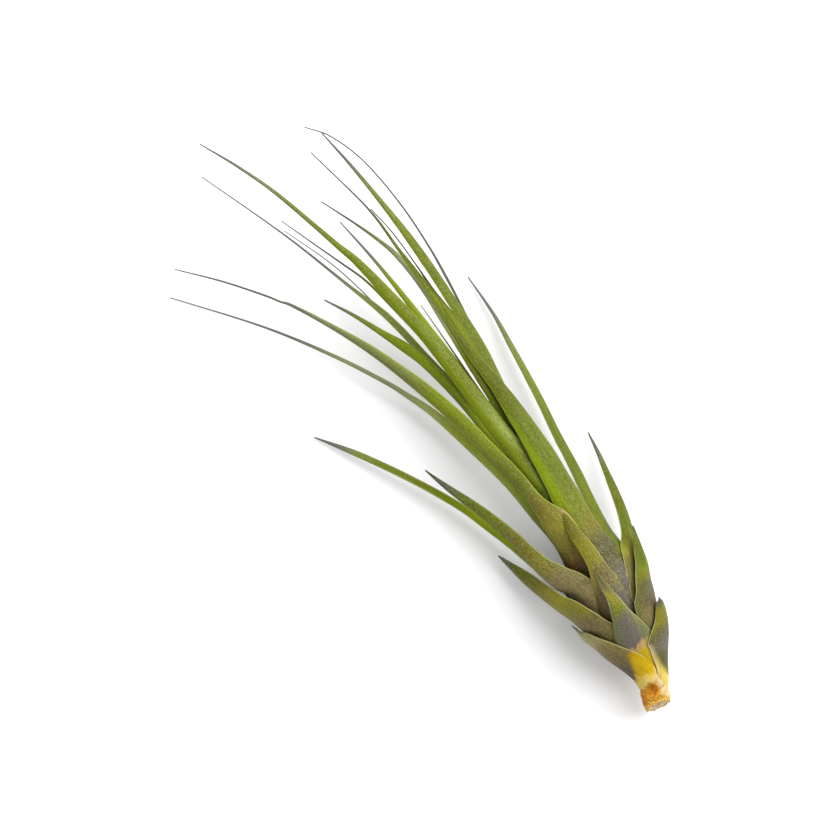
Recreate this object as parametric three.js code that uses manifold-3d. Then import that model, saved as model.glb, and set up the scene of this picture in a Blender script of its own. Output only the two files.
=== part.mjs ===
import * as THREE from 'three';
import Module from 'manifold-3d';

// A stemmed air plant lying on its side: a short cut stem stub at the lower end, a spiral of
// clasping leaf sheaths round it, and long channelled blades that taper to thin tips.
// All sizes are in millimetres. +Z is up, and +Y runs from the cut stub to the longest tips.
// The leaves are written in a working frame whose origin is the middle of the cut end, seen
// from above, with the surface the plant lies on at height zero.

const wasm = await Module();
wasm.setup();
const { Manifold, Mesh } = wasm;

// Driving dimensions
const MID_X = -7.27; // middle of the plant across, in the working frame
const MID_Y = 89.67; // middle of the plant lengthwise, in the working frame
const SHEATH_WALL = 0.68; // thickness of a leaf where it clasps the stem
const BLADE_WALL = 0.62; // thickness of a free blade
const LAYER_STEP = 1.1; // radial step from one layer of sheaths to the next
const STUB_RADIUS = 3.5; // radius of the stem at the cut
const TIP_WIDTH = 0.75; // width of a blade at its end
const CHANNEL_MAX = 38; // half angle in degrees of the channel of a wide blade
const CHANNEL_MIN = 28; // half angle in degrees of the channel at the tip
const FLAT_DEPTH = 0.25; // depth of the worn flat under the lowest sheath

// The axis of the stem and of the bundle of leaves above it: [y, x, z]
const AXIS = [
  [-2, 1.0, 8.4], [4, 2.3, 9.0], [8, 3.4, 9.6], [12, 4.6, 10.2], [16, 5.6, 10.8], [20, 6.2, 11.3],
  [24, 6.7, 11.7], [28, 7.0, 12.0], [34, 7.7, 12.5], [40, 8.2, 13.0], [50, 8.8, 13.8], [60, 9.2, 14.5],
  [72, 9.4, 15.2],
];

// Radius of the outermost layer of sheaths along the plant: [y, radius]
const BULB = [
  [-2, 3.8], [4, 4.35], [8, 5.3], [12, 7.0], [16, 8.8], [20, 10.4], [24, 11.8], [28, 13.0], [34, 14.0],
  [40, 14.4], [50, 14.2], [60, 13.6], [72, 13.0],
];

// Radius of the bare stem inside the sheaths: [y, radius]
const STEM = [
  [-0.6, STUB_RADIUS - 0.25], [0, STUB_RADIUS], [2.5, STUB_RADIUS + 0.15], [5, STUB_RADIUS - 0.1],
  [8, 2.8], [12, 2.6], [20, 2.1], [28, 1.5], [33, 0.8],
];

// The leaves. A leaf has the layer its sheath lies in (0 is outermost), the direction round the
// axis its keel faces in degrees (0 is right, 90 is up, 180 is left, 270 is down), the direction
// the keel of its blade faces at the tip, the sheath as [y, half angle clasped in degrees], and the
// free blade along its keel as [x, y, z, width, radius of the channel where it is not the usual].
const LEAVES = [
  {
    name: 'leaf_base_right', layer: 0, keel: 6, tipKeel: 10, outer: true, segments: 8,
    sheath: [[4.8, 52]],
    blade: [
      [9.3, 7.6, 9.6, 6.6, 5.2], [12.2, 11.0, 10.0, 10.2, 6.9], [14.9, 15.2, 10.6, 9.8, 8.2],
      [16.2, 18.6, 11.6, 5.6, 6.0], [16.7, 22.4, 13.2, 1.0],
    ],
  },
  {
    name: 'leaf_base_left', layer: 0, keel: 176, tipKeel: 170, outer: true, segments: 8,
    sheath: [[5.2, 60], [8, 68], [12, 70], [16.5, 60], [20, 50], [23.5, 36]],
    blade: [[-5.4, 26.2, 12.4, 4.2, 6.0], [-5.6, 29.2, 13.0, 0.9]],
  },
  {
    name: 'leaf_diamond', layer: 1, keel: 88, tipKeel: 88, outer: true, segments: 7,
    sheath: [[7.6, 62], [12, 60], [16, 43], [19.5, 31], [24.5, 16]],
    blade: [[7.0, 28.5, 23.7, 3.6, 3.6], [7.2, 32.5, 24.2, 2.2], [7.4, 37.0, 24.4, TIP_WIDTH]],
  },
  {
    name: 'leaf_under_low', layer: 1, keel: 272, tipKeel: 270, outer: true, segments: 7,
    sheath: [[7.6, 50], [13, 56], [19, 56], [24, 46], [28, 36]],
    blade: [[8.0, 34.0, 0.0, 8.6, 9.0], [9.2, 41.0, 0.3, 4.4], [10.4, 48.0, 0.9, 0.9]],
  },
  {
    name: 'leaf_short_right', layer: 2, keel: 20, tipKeel: 40, outer: true, segments: 7,
    sheath: [[10, 58], [16, 54], [22, 43], [27, 32]],
    blade: [[19.0, 31.0, 16.6, 5.4, 5.4], [20.1, 35.0, 16.6, 3.4], [20.9, 38.0, 16.6, 1.9], [21.7, 40.6, 16.6, 0.9]],
  },
  {
    name: 'leaf_short_left', layer: 2, keel: 168, tipKeel: 140, outer: true, segments: 7,
    sheath: [[10, 60], [16, 60], [23.4, 54], [30, 38]],
    blade: [
      [-5.4, 35.0, 14.0, 6.4, 7.0], [-6.4, 40.0, 12.4, 3.9], [-7.7, 45.0, 10.0, 2.9], [-9.0, 50.0, 7.4, 1.6],
      [-10.3, 53.5, 6.0, TIP_WIDTH],
    ],
  },
  {
    name: 'leaf_right_low', layer: 3, keel: 8, tipKeel: 60, outer: true, segments: 7,
    sheath: [[12.6, 60], [18, 58], [24, 50], [30, 43]],
    blade: [
      [18.2, 35.0, 13.0, 8.0, 8.6], [19.4, 39.5, 11.8, 3.8], [21.0, 45.0, 10.2, 2.8], [22.5, 50.0, 8.6, 2.3],
      [24.0, 56.0, 6.2, 1.7], [25.0, 60.5, 4.2, 1.2], [26.0, 66.0, 1.8, TIP_WIDTH],
    ],
  },
  {
    name: 'leaf_under_left', layer: 3, keel: 232, tipKeel: 250, outer: true, segments: 7,
    sheath: [[12.6, 60], [18, 58], [26, 50], [32, 38]],
    blade: [[-0.4, 38.0, 3.8, 5.8, 6.6], [-1.6, 43.0, 2.8, 3.2], [-2.4, 47.5, 2.2, 0.9]],
  },
  {
    name: 'leaf_front_pointed', layer: 4, keel: 92, tipKeel: 90, outer: true, segments: 7,
    sheath: [[14.6, 60], [20, 48], [26, 35], [32, 22]],
    blade: [
      [8.1, 38.0, 23.4, 4.6, 4.6], [8.7, 42.5, 23.8, 3.4], [9.2, 48.0, 23.9, 2.0], [9.6, 54.5, 23.6, TIP_WIDTH],
    ],
  },
  {
    name: 'leaf_left_long_low', layer: 4, keel: 205, tipKeel: 255, outer: true, segments: 6,
    sheath: [[14.6, 46], [22, 46], [30, 38], [38, 26]],
    blade: [
      [-4.2, 45.0, 8.2, 4.0], [-6.8, 54.0, 7.4, 2.9], [-8.6, 61.0, 6.8, 2.7], [-11.0, 68.0, 6.0, 2.5],
      [-14.5, 76.0, 5.0, 2.3], [-19.2, 85.5, 3.8, 1.9], [-24.6, 95.0, 2.2, 1.4], [-31.0, 104.3, 0.9, TIP_WIDTH],
    ],
  },
  {
    name: 'leaf_under_right', layer: 4, keel: 312, tipKeel: 290, outer: true, segments: 6,
    sheath: [[14.6, 46], [22, 46], [30, 40]],
    blade: [[13.9, 38.0, 4.8, 6.4, 7.4], [14.0, 45.0, 3.6, 3.2], [14.0, 52.5, 2.8, 0.9]],
  },
  {
    name: 'leaf_left_purple', layer: 5, keel: 142, tipKeel: 120, outer: true, segments: 6,
    sheath: [[16.8, 56], [23, 52], [29, 43], [34, 32]],
    blade: [
      [-0.7, 39.5, 18.2, 6.2, 6.2], [-2.5, 45.5, 16.9, 4.5], [-4.4, 55.0, 14.4, 3.2], [-7.3, 65.0, 11.9, 2.6],
      [-10.6, 74.5, 9.6, 1.6], [-13.0, 81.5, 8.2, TIP_WIDTH],
    ],
  },
  {
    name: 'leaf_right_long', layer: 5, keel: -18, tipKeel: -70, outer: true, segments: 6,
    sheath: [[16.8, 52], [24, 48], [33, 38]],
    blade: [
      [16.3, 43.0, 10.0, 5.0, 6.0], [16.7, 51.0, 9.2, 3.3], [17.5, 60.0, 8.4, 2.9], [19.0, 70.0, 7.4, 2.5],
      [20.9, 81.0, 6.2, 2.1], [22.3, 95.0, 4.4, 1.4], [23.2, 104.0, 2.7, 1.0], [23.7, 115.3, 0.9, TIP_WIDTH],
    ],
  },
  {
    name: 'leaf_left_wide', layer: 6, keel: 106, tipKeel: 110, outer: false, segments: 6,
    sheath: [[19, 54], [27, 48], [36, 42], [44, 36]],
    blade: [
      [6.0, 52.0, 22.0, 7.0, 6.8], [5.4, 59.0, 22.2, 5.0, 4.6], [4.5, 68.0, 21.4, 3.7], [3.5, 75.0, 20.2, 3.5],
      [1.4, 85.0, 19.2, 4.1], [-0.9, 95.0, 18.2, 3.8], [-3.7, 105.0, 17.0, 2.8], [-7.2, 115.0, 15.4, 1.9],
      [-12.3, 126.0, 13.6, 1.3], [-20.0, 139.3, 11.2, 1.0], [-27.5, 149.5, 9.4, 0.8], [-35.5, 158.8, 8.0, TIP_WIDTH],
    ],
  },
  {
    name: 'leaf_left_far', layer: 6, keel: 215, tipKeel: 260, outer: false, segments: 5,
    sheath: [[19, 46], [28, 44], [38, 38], [47, 29]],
    blade: [
      [2.3, 56.0, 9.8, 3.6], [1.8, 67.0, 9.2, 2.6], [0.2, 79.0, 8.4, 2.1], [-3.0, 92.0, 7.2, 1.6],
      [-8.0, 105.0, 5.6, 1.1], [-15.0, 117.3, 4.0, 0.9], [-25.0, 133.6, 2.2, 0.8], [-40.5, 153.8, 0.9, TIP_WIDTH],
    ],
  },
  {
    name: 'leaf_right_front', layer: 7, keel: 56, tipKeel: 80, outer: false, segments: 6,
    sheath: [[21.8, 52], [29, 48], [37, 45], [45, 43]],
    blade: [
      [12.2, 53.0, 20.2, 7.4, 6.0], [12.4, 60.0, 21.3, 7.0, 5.2], [12.8, 67.0, 21.8, 6.5, 5.0], [13.3, 73.0, 21.8, 5.7],
      [13.8, 80.0, 21.2, 4.8], [14.0, 88.0, 20.2, 3.6], [13.2, 100.0, 18.8, 2.0], [12.6, 110.0, 17.6, 1.2],
      [13.1, 126.0, 15.8, 0.9], [12.8, 143.0, 14.0, 0.8], [9.2, 163.2, 12.0, TIP_WIDTH],
    ],
  },
  {
    name: 'leaf_yellow', layer: 8, keel: 130, tipKeel: 110, outer: false, segments: 5,
    sheath: [[24.8, 48], [33, 44], [42, 38], [51, 31]],
    blade: [
      [6.0, 60.0, 19.3, 3.4], [6.2, 70.0, 19.3, 3.1], [5.1, 82.0, 19.2, 2.5], [4.0, 92.0, 17.8, 2.6],
      [2.0, 104.0, 15.6, 2.3], [-2.0, 115.5, 13.2, 1.6], [-5.4, 123.5, 12.0, 1.0], [-9.2, 131.0, 10.8, TIP_WIDTH],
    ],
  },
  {
    name: 'leaf_right_wide', layer: 8, keel: 8, tipKeel: 80, outer: false, segments: 5,
    sheath: [[24.8, 48], [33, 44], [42, 38], [50, 34]],
    blade: [
      [14.1, 60.0, 16.0, 4.6], [14.3, 72.0, 16.4, 4.2], [14.8, 86.0, 16.8, 3.8], [15.8, 99.0, 16.8, 3.3],
      [16.8, 115.0, 17.4, 2.9], [17.1, 130.0, 17.8, 2.3], [16.7, 142.5, 18.2, 1.5], [15.6, 154.5, 18.4, 1.0],
      [14.2, 165.5, 18.4, TIP_WIDTH],
    ],
  },
  {
    name: 'leaf_centre', layer: 9, keel: 84, tipKeel: 90, outer: false, segments: 5,
    sheath: [[27.2, 46], [37, 42], [48, 40]],
    blade: [
      [8.9, 59.0, 17.7, 4.4], [8.8, 71.0, 17.9, 4.5], [8.3, 83.0, 18.4, 4.0], [7.5, 95.0, 19.4, 3.9],
      [6.6, 109.0, 20.4, 3.6], [5.0, 121.0, 20.8, 2.9], [3.0, 134.0, 21.2, 2.3], [0.0, 146.0, 21.6, 1.5],
      [-4.0, 160.3, 21.8, 1.1], [-8.0, 171.0, 21.8, 0.8], [-12.3, 180.5, 21.8, TIP_WIDTH],
    ],
  },
  {
    name: 'leaf_grey_green', layer: 9, keel: 196, tipKeel: 240, outer: false, segments: 4,
    sheath: [[27.2, 42], [36, 40], [46, 37], [55, 32]],
    blade: [
      [5.5, 66.0, 13.2, 3.0], [5.8, 78.0, 12.8, 2.8], [4.9, 92.0, 12.0, 2.6], [3.3, 105.0, 11.0, 2.4],
      [1.1, 117.5, 9.6, 2.0], [-2.4, 130.0, 7.8, 1.2], [-8.0, 149.8, 4.4, 0.8], [-16.7, 174.0, 0.9, TIP_WIDTH],
    ],
  },
  {
    name: 'leaf_arched', layer: 9, keel: -38, tipKeel: -60, outer: false, segments: 4,
    sheath: [[27.2, 42], [36, 40], [46, 36], [55, 32]],
    blade: [
      [13.0, 68.0, 11.5, 2.1], [14.2, 81.0, 11.5, 2.0], [16.2, 95.0, 12.2, 1.6], [18.3, 110.0, 13.2, 1.1],
      [19.9, 126.0, 14.4, 0.9], [20.1, 140.0, 15.4, 0.8], [18.4, 154.0, 16.2, 0.8], [15.5, 163.7, 16.6, 0.8],
      [11.5, 169.2, 16.8, TIP_WIDTH],
    ],
  },
  {
    name: 'leaf_gap_right', layer: 10, keel: 290, tipKeel: 300, outer: false, segments: 4,
    sheath: [[30, 42], [40, 36], [52, 27]],
    blade: [
      [10.5, 66.0, 11.0, 2.0], [10.9, 80.0, 11.0, 2.1], [11.2, 95.0, 11.0, 1.8], [12.0, 108.0, 10.8, 1.6],
      [12.4, 122.0, 10.0, 1.4], [11.0, 134.0, 8.2, 1.0], [8.0, 142.5, 6.0, 0.8], [4.3, 151.7, 3.6, TIP_WIDTH],
    ],
  },
  {
    name: 'leaf_behind_centre', layer: 10, keel: 156, tipKeel: 120, outer: false, segments: 4,
    sheath: [[30, 42], [40, 40], [52, 34]],
    blade: [
      [6.9, 66.0, 15.0, 2.2], [7.2, 80.0, 14.4, 2.0], [6.6, 94.0, 14.4, 1.9], [5.4, 107.0, 14.8, 1.6],
      [3.4, 120.0, 15.6, 1.2], [1.4, 131.0, 15.8, 1.0], [-2.0, 140.0, 15.6, 0.8], [-6.7, 153.3, 14.8, TIP_WIDTH],
    ],
  },
  {
    name: 'leaf_thin_right', layer: 10, keel: 28, tipKeel: 60, outer: false, segments: 4,
    sheath: [[30, 42], [40, 36], [52, 25]],
    blade: [
      [12.2, 66.0, 14.0, 2.0], [12.9, 80.0, 13.9, 2.0], [13.7, 95.0, 13.8, 1.8], [14.3, 110.0, 13.4, 1.5],
      [14.4, 123.0, 12.8, 1.2], [14.3, 134.0, 12.0, 1.0], [13.2, 144.5, 11.2, TIP_WIDTH],
    ],
  },
  {
    name: 'leaf_heart_upper', layer: 11, keel: 78, tipKeel: 90, outer: false, segments: 4,
    sheath: [[33.6, 42], [42, 38], [52, 32]],
    blade: [
      [9.5, 66.0, 15.5, 2.0], [9.3, 80.0, 15.8, 1.9], [8.9, 94.0, 16.4, 1.9], [8.1, 109.0, 17.0, 1.8],
      [7.6, 120.0, 17.2, 1.5], [6.8, 131.5, 17.4, 0.9], [5.2, 144.7, 17.2, TIP_WIDTH],
    ],
  },
  {
    name: 'leaf_heart_left', layer: 11, keel: 198, tipKeel: 230, outer: false, segments: 4,
    sheath: [[33.6, 42], [42, 40], [52, 36]],
    blade: [
      [8.1, 66.0, 12.6, 1.6], [7.6, 80.0, 10.6, 1.4], [5.6, 94.0, 9.0, 1.2], [3.6, 106.0, 8.0, 1.0],
      [1.3, 119.0, 7.2, 0.8], [-2.2, 136.0, 5.8, 0.8], [-7.5, 151.0, 4.6, TIP_WIDTH],
    ],
  },
  {
    name: 'leaf_heart_dark', layer: 11, keel: 318, tipKeel: 330, outer: false, segments: 4,
    sheath: [[33.6, 42], [42, 40], [52, 36]],
    blade: [
      [9.9, 66.0, 13.4, 1.6], [9.9, 80.0, 13.6, 1.3], [9.8, 93.0, 13.8, 1.0], [9.9, 104.0, 13.8, 0.8],
      [9.9, 116.0, 13.8, TIP_WIDTH],
    ],
  },
];

const RAD = Math.PI / 180;

const leafMaterial = new THREE.MeshStandardMaterial({ color: 0x83943c, roughness: 0.62 });
leafMaterial.name = 'leaf';
const outerMaterial = new THREE.MeshStandardMaterial({ color: 0x7d7550, roughness: 0.75 });
outerMaterial.name = 'outer_leaf';
const stemMaterial = new THREE.MeshStandardMaterial({ color: 0xc98a2c, roughness: 0.8 });
stemMaterial.name = 'stem';

// Smooth curve through rows of numbers, read at a distance along the first column or knot list.
function smooth(knots, values, at) {
  const last = knots.length - 1;
  let k = 0;
  while (k < last - 1 && at > knots[k + 1]) k += 1;
  const slope = (i) => {
    const a = Math.max(i - 1, 0);
    const b = Math.min(i + 1, last);
    return (values[b] - values[a]) / (knots[b] - knots[a]);
  };
  const h = knots[k + 1] - knots[k];
  const t = Math.min(Math.max((at - knots[k]) / h, 0), 1);
  const t2 = t * t;
  const t3 = t2 * t;
  return (
    values[k] * (2 * t3 - 3 * t2 + 1) +
    slope(k) * h * (t3 - 2 * t2 + t) +
    values[k + 1] * (3 * t2 - 2 * t3) +
    slope(k + 1) * h * (t3 - t2)
  );
}

function column(table, index) {
  return table.map((row) => row[index]);
}

function axisAt(y) {
  const ys = column(AXIS, 0);
  return new THREE.Vector3(smooth(ys, column(AXIS, 1), y), y, smooth(ys, column(AXIS, 2), y));
}

function layerRadius(layer, y) {
  return smooth(column(BULB, 0), column(BULB, 1), y) - LAYER_STEP * layer;
}

// A closed skin over rings of points with the same count, capped flat at both ends.
function loft(rings, caps) {
  const count = rings[0].length;
  const vertices = [];
  const triangles = [];
  rings.forEach((ring) => ring.forEach((p) => vertices.push(p.x, p.y, p.z)));
  for (let i = 0; i < rings.length - 1; i += 1) {
    for (let j = 0; j < count; j += 1) {
      const a = i * count + j;
      const b = i * count + ((j + 1) % count);
      triangles.push(a, a + count, b, b, a + count, b + count);
    }
  }
  const top = (rings.length - 1) * count;
  caps.forEach(([a, b, c]) => {
    triangles.push(a, b, c);
    triangles.push(top + c, top + b, top + a);
  });
  const mesh = new Mesh({
    numProp: 3,
    vertProperties: new Float32Array(vertices),
    triVerts: new Uint32Array(triangles),
  });
  let solid = new Manifold(mesh);
  if (solid.volume() < 0) {
    for (let i = 0; i < triangles.length; i += 3) {
      const keep = triangles[i];
      triangles[i] = triangles[i + 1];
      triangles[i + 1] = keep;
    }
    mesh.triVerts = new Uint32Array(triangles);
    solid = new Manifold(mesh);
  }
  return solid;
}

function channelAngle(width) {
  return Math.min(Math.max(24 + 7 * width, CHANNEL_MIN), CHANNEL_MAX);
}

// Every row of a leaf in one form: keel point, channel radius, half angle, keel direction,
// how far the section leans square to the keel (0 in the sheath, 1 in the blade), and wall.
function leafRows(leaf) {
  const rows = leaf.sheath.map(([y, half]) => {
    const c = axisAt(y);
    const radius = layerRadius(leaf.layer, y);
    const x = c.x + radius * Math.cos(leaf.keel * RAD);
    const z = c.z + radius * Math.sin(leaf.keel * RAD);
    return [x, y, z, radius, half, leaf.keel, 0, SHEATH_WALL];
  });
  const blades = leaf.blade.length;
  leaf.blade.forEach(([x, y, z, width, given], i) => {
    const share = (i + 1) / blades;
    const half = given ? Math.asin(Math.min(width / (2 * given), 0.985)) / RAD : channelAngle(width);
    const radius = given || width / (2 * Math.sin(half * RAD));
    const keel = leaf.keel + (leaf.tipKeel - leaf.keel) * share;
    rows.push([x, y, z, radius, half, keel, Math.min(1, 0.5 + share), BLADE_WALL]);
  });
  return rows;
}

function leafSolid(leaf) {
  const rows = leafRows(leaf);
  const knots = [0];
  for (let i = 1; i < rows.length; i += 1) {
    const d = Math.hypot(rows[i][0] - rows[i - 1][0], rows[i][1] - rows[i - 1][1], rows[i][2] - rows[i - 1][2]);
    knots.push(knots[i - 1] + d);
  }
  const columns = rows[0].map((_, c) => column(rows, c));
  const read = (at) => columns.map((values) => smooth(knots, values, at));
  const places = [];
  for (let i = 0; i < rows.length - 1; i += 1) {
    const span = knots[i + 1] - knots[i];
    const parts = i < rows.length - 2 && span > 3.5 && i < leaf.sheath.length + 2 ? 2 : 1;
    for (let j = 0; j < parts; j += 1) places.push(knots[i] + (span * j) / parts);
  }
  places.push(knots[knots.length - 1]);
  const n = leaf.segments;
  const rings = places.map((at) => {
    const [x, y, z, radius, half, keel, lean, wall] = read(at);
    const before = read(Math.max(at - 0.5, 0));
    const after = read(Math.min(at + 0.5, knots[knots.length - 1]));
    const along = new THREE.Vector3(after[0] - before[0], after[1] - before[1], after[2] - before[2]).normalize();
    const facing = new THREE.Vector3(Math.cos(keel * RAD), 0, Math.sin(keel * RAD));
    const square = facing.clone().addScaledVector(along, -facing.dot(along)).normalize();
    const out = facing.clone().lerp(square, lean).normalize();
    const direction = new THREE.Vector3(0, 1, 0).lerp(along, lean).normalize();
    const side = direction.clone().cross(out).normalize();
    const centre = new THREE.Vector3(x, y, z).addScaledVector(out, -radius);
    const arc = (r, sign) => {
      const points = [];
      for (let i = 0; i <= n; i += 1) {
        const angle = sign * (-1 + (2 * i) / n) * half * RAD;
        const p = centre.clone();
        p.addScaledVector(out, r * Math.cos(angle)).addScaledVector(side, r * Math.sin(angle));
        points.push(p);
      }
      return points;
    };
    return [...arc(radius, 1), ...arc(radius - wall, -1)];
  });
  const caps = [];
  const last = 2 * n + 1;
  for (let i = 0; i < n; i += 1) {
    caps.push([i, i + 1, last - i]);
    caps.push([i + 1, last - i - 1, last - i]);
  }
  return loft(rings, caps);
}

function stemSolid() {
  const sides = 20;
  const ys = column(STEM, 0);
  const radii = column(STEM, 1);
  const rings = ys.map((y, row) => {
    const c = axisAt(y);
    const ahead = axisAt(y + 0.5).sub(axisAt(y - 0.5)).normalize();
    const up = new THREE.Vector3(0, 0, 1).addScaledVector(ahead, -ahead.z).normalize();
    const side = ahead.clone().cross(up).normalize();
    const ring = [];
    for (let i = 0; i < sides; i += 1) {
      const angle = (2 * Math.PI * i) / sides;
      const p = c.clone();
      p.addScaledVector(up, radii[row] * Math.sin(angle)).addScaledVector(side, radii[row] * Math.cos(angle));
      ring.push(p);
    }
    return ring;
  });
  const caps = [];
  for (let i = 1; i < sides - 1; i += 1) caps.push([0, i, i + 1]);
  return loft(rings, caps);
}

function toMesh(solid, name, material) {
  const data = solid.getMesh();
  const geometry = new THREE.BufferGeometry();
  const positions = new Float32Array((data.vertProperties.length / data.numProp) * 3);
  for (let i = 0, j = 0; i < data.vertProperties.length; i += data.numProp, j += 3) {
    positions[j] = data.vertProperties[i];
    positions[j + 1] = data.vertProperties[i + 1];
    positions[j + 2] = data.vertProperties[i + 2];
  }
  geometry.setAttribute('position', new THREE.BufferAttribute(positions, 3));
  geometry.setIndex(new THREE.BufferAttribute(new Uint32Array(data.triVerts), 1));
  geometry.computeVertexNormals();
  const mesh = new THREE.Mesh(geometry, material);
  mesh.name = name;
  return mesh;
}

const part = new THREE.Group();
part.name = 'air_plant';

part.add(toMesh(stemSolid().translate([-MID_X, -MID_Y, 0]), 'stem', stemMaterial));

for (const leaf of LEAVES) {
  let solid = leafSolid(leaf);
  if (leaf.name === 'leaf_under_low') {
    // The lowest sheath carries the weight on a small worn flat.
    const lowest = solid.boundingBox().min[2];
    solid = solid.trimByPlane([0, 0, 1], lowest + FLAT_DEPTH).translate([0, 0, -lowest - FLAT_DEPTH]);
  }
  part.add(toMesh(solid.translate([-MID_X, -MID_Y, 0]), leaf.name, leaf.outer ? outerMaterial : leafMaterial));
}

export default part;
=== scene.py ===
"""A stemmed air plant lying on its side on a plain pale surface, seen from straight above.

The plant is a short cut stub, a spiral of clasping sheaths and long channelled blades. Each leaf
is one closed mesh swept along its keel, and it stands for the leaf of the same name in the frame.
Leaves are written in the plant's own millimetres: the cut end is near (0, 0), the surface is at
height 0 and +Y runs to the longest tips. ``place`` turns them into metres in the CAD part's frame.
"""

from __future__ import annotations

import logging
import math
from dataclasses import dataclass
from enum import Enum

import bpy
import numpy as np
from mathutils import Matrix, Vector

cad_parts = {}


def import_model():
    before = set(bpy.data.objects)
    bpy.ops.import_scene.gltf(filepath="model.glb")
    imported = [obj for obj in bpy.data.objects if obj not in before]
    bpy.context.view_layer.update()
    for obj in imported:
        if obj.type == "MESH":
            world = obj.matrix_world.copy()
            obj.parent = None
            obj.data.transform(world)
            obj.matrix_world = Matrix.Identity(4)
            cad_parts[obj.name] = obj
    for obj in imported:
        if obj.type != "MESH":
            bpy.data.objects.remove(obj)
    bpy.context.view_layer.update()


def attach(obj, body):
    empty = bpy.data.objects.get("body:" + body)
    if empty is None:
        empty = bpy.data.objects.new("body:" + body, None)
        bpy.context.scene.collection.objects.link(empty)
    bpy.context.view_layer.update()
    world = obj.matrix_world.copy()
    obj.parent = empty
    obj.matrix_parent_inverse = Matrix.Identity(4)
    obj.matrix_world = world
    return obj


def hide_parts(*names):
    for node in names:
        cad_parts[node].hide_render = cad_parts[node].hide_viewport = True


log = logging.getLogger("air_plant")

MM = 0.001
ROOT_BODY = "root"

# The CAD part's origin in plant millimetres.
MID_X = -7.27
MID_Y = 89.67

# How bright pigments are against the screen values of Hue, and the sheen of all the dull surfaces.
PIGMENT = 0.7
SHEEN = 0.1

# The stem's axis: place along the plant, place across it and height.
AXIS = np.array([
    (-2, 0.4, 8.4), (1, 1.4, 8.7), (4, 2.65, 9.0), (8, 4.5, 9.6), (12, 5.7, 10.2), (16, 6.3, 10.8),
    (20, 6.5, 11.3), (24, 6.7, 11.7), (28, 7.0, 12.0), (34, 7.7, 12.5), (40, 8.2, 13.0),
    (50, 8.8, 13.8), (60, 9.2, 14.5), (72, 9.4, 15.2),
])
# Radius of the outermost layer of sheaths round the axis, by place along the plant.
BULB = np.array([
    (-2, 3.4), (1, 3.6), (4, 4.1), (8, 4.9), (12, 7.0), (16, 9.0), (20, 10.5), (24, 11.8), (28, 13.0),
    (34, 14.0), (40, 14.4), (50, 14.2), (60, 13.6), (72, 13.0),
])


class Slot(Enum):
    """The material slots of the record."""

    LEAF = "leaf"
    OUTER = "outer_leaf"
    STEM = "stem"


class Blend(Enum):
    """Ways of laying one colour over another."""

    COVER = "MIX"
    MULTIPLY = "MULTIPLY"


class Hue(Enum):
    """Colours of the plant as screen values, from 0 to 255, some of them with painted shade or a painted
    highlight.
    """

    CREAM = (242, 210, 106)
    CREAM_PALE = (230, 210, 160)
    GOLD = (216, 176, 0)
    GOLD_DEEP = (196, 150, 0)
    ORANGE = (226, 146, 14)
    SIENNA = (194, 122, 26)
    AMBER = (190, 126, 10)
    RUST = (166, 98, 4)
    PEACH = (200, 162, 98)
    BARK = (118, 76, 46)
    FIBRE = (246, 216, 172)
    PURPLE_GREY = (112, 101, 98)
    PURPLE_DARK = (84, 70, 58)
    DUSK = (90, 86, 50)
    # Dark umber with painted shade, for the foot of the left wide leaf where it lies deep in shade under the
    # leaf beside it.
    SHADED_UMBER = (48, 34, 4)
    MAROON = (110, 76, 58)
    SCURF = (166, 160, 128)
    FAWN = (150, 130, 84)
    BRONZE = (104, 98, 14)
    MEADOW = (172, 186, 60)
    SPROUT = (184, 204, 10)
    # A painted highlight, for the bright pale strip on the leaf in the gap.
    PAINTED_GLINT = (224, 230, 178)
    STRAW = (172, 154, 60)
    SAND = (178, 156, 104)
    KHAKI = (158, 150, 40)
    DEW = (186, 196, 118)
    HOAR = (158, 164, 124)
    EARTH = (98, 88, 58)
    MOSS = (122, 116, 12)
    SPRING = (152, 172, 10)
    TAUPE = (126, 107, 68)
    BROWN_OLIVE = (130, 118, 30)
    DRIED = (172, 136, 88)
    DRIED_PALE = (205, 180, 140)
    OLIVE = (118, 130, 10)
    OLIVE_DEEP = (96, 106, 0)
    # Deep green with painted shade, for the inner leaves where they lie in the shade between the outer ones.
    SHADED_DEEP_GREEN = (74, 94, 0)
    FERN = (104, 118, 8)
    YELLOW_GREEN = (126, 142, 0)
    LIME = (136, 156, 0)
    YELLOW_OLIVE = (144, 138, 20)
    SOFT_GREEN = (122, 138, 30)
    FROSTED = (150, 168, 66)
    GREY_GREEN = (126, 134, 68)
    SAGE = (136, 142, 106)
    ASH = (111, 111, 108)
    TIP_GREY = (100, 102, 98)
    TIP_DARK = (74, 68, 68)
    MARGIN = (188, 182, 120)
    MARGIN_GREEN = (160, 168, 76)

    @property
    def linear(self) -> Colour:
        """The pigment as linear light with full alpha, by the usual curve of screens."""
        light = (((c / 255 + 0.055) / 1.055) ** 2.4 if c > 10 else c / 255 / 12.92 for c in self.value)
        return tuple(PIGMENT * c for c in light) + (1.0,)


Socket = bpy.types.NodeSocket
Colour = tuple[float, float, float, float]
Range = tuple[float, float]
Run = tuple[tuple[float, Hue], ...]


@dataclass(frozen=True)
class Grain:
    """A noise on a surface.

    Attributes:
        scale: cycles for each unit of the three parts of the place that it is read at.
        detail: octaves of the noise.
        roughness: strength of the finer octaves.
    """

    scale: tuple[float, float, float]
    detail: float
    roughness: float = 0.5


@dataclass(frozen=True)
class Wash:
    """A colour that shows where a grain is high or low.

    Attributes:
        start: value of the grain where the colour starts to show.
        full: value where it shows fully, which may be below start.
        strength: how far the colour under it turns there, from 0 to 1.
        tone: the colour, as a Hue or as linear light.
        blend: how it is laid over the colour under it.
    """

    start: float
    full: float
    strength: float
    tone: Hue | Colour
    blend: Blend = Blend.COVER


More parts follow.
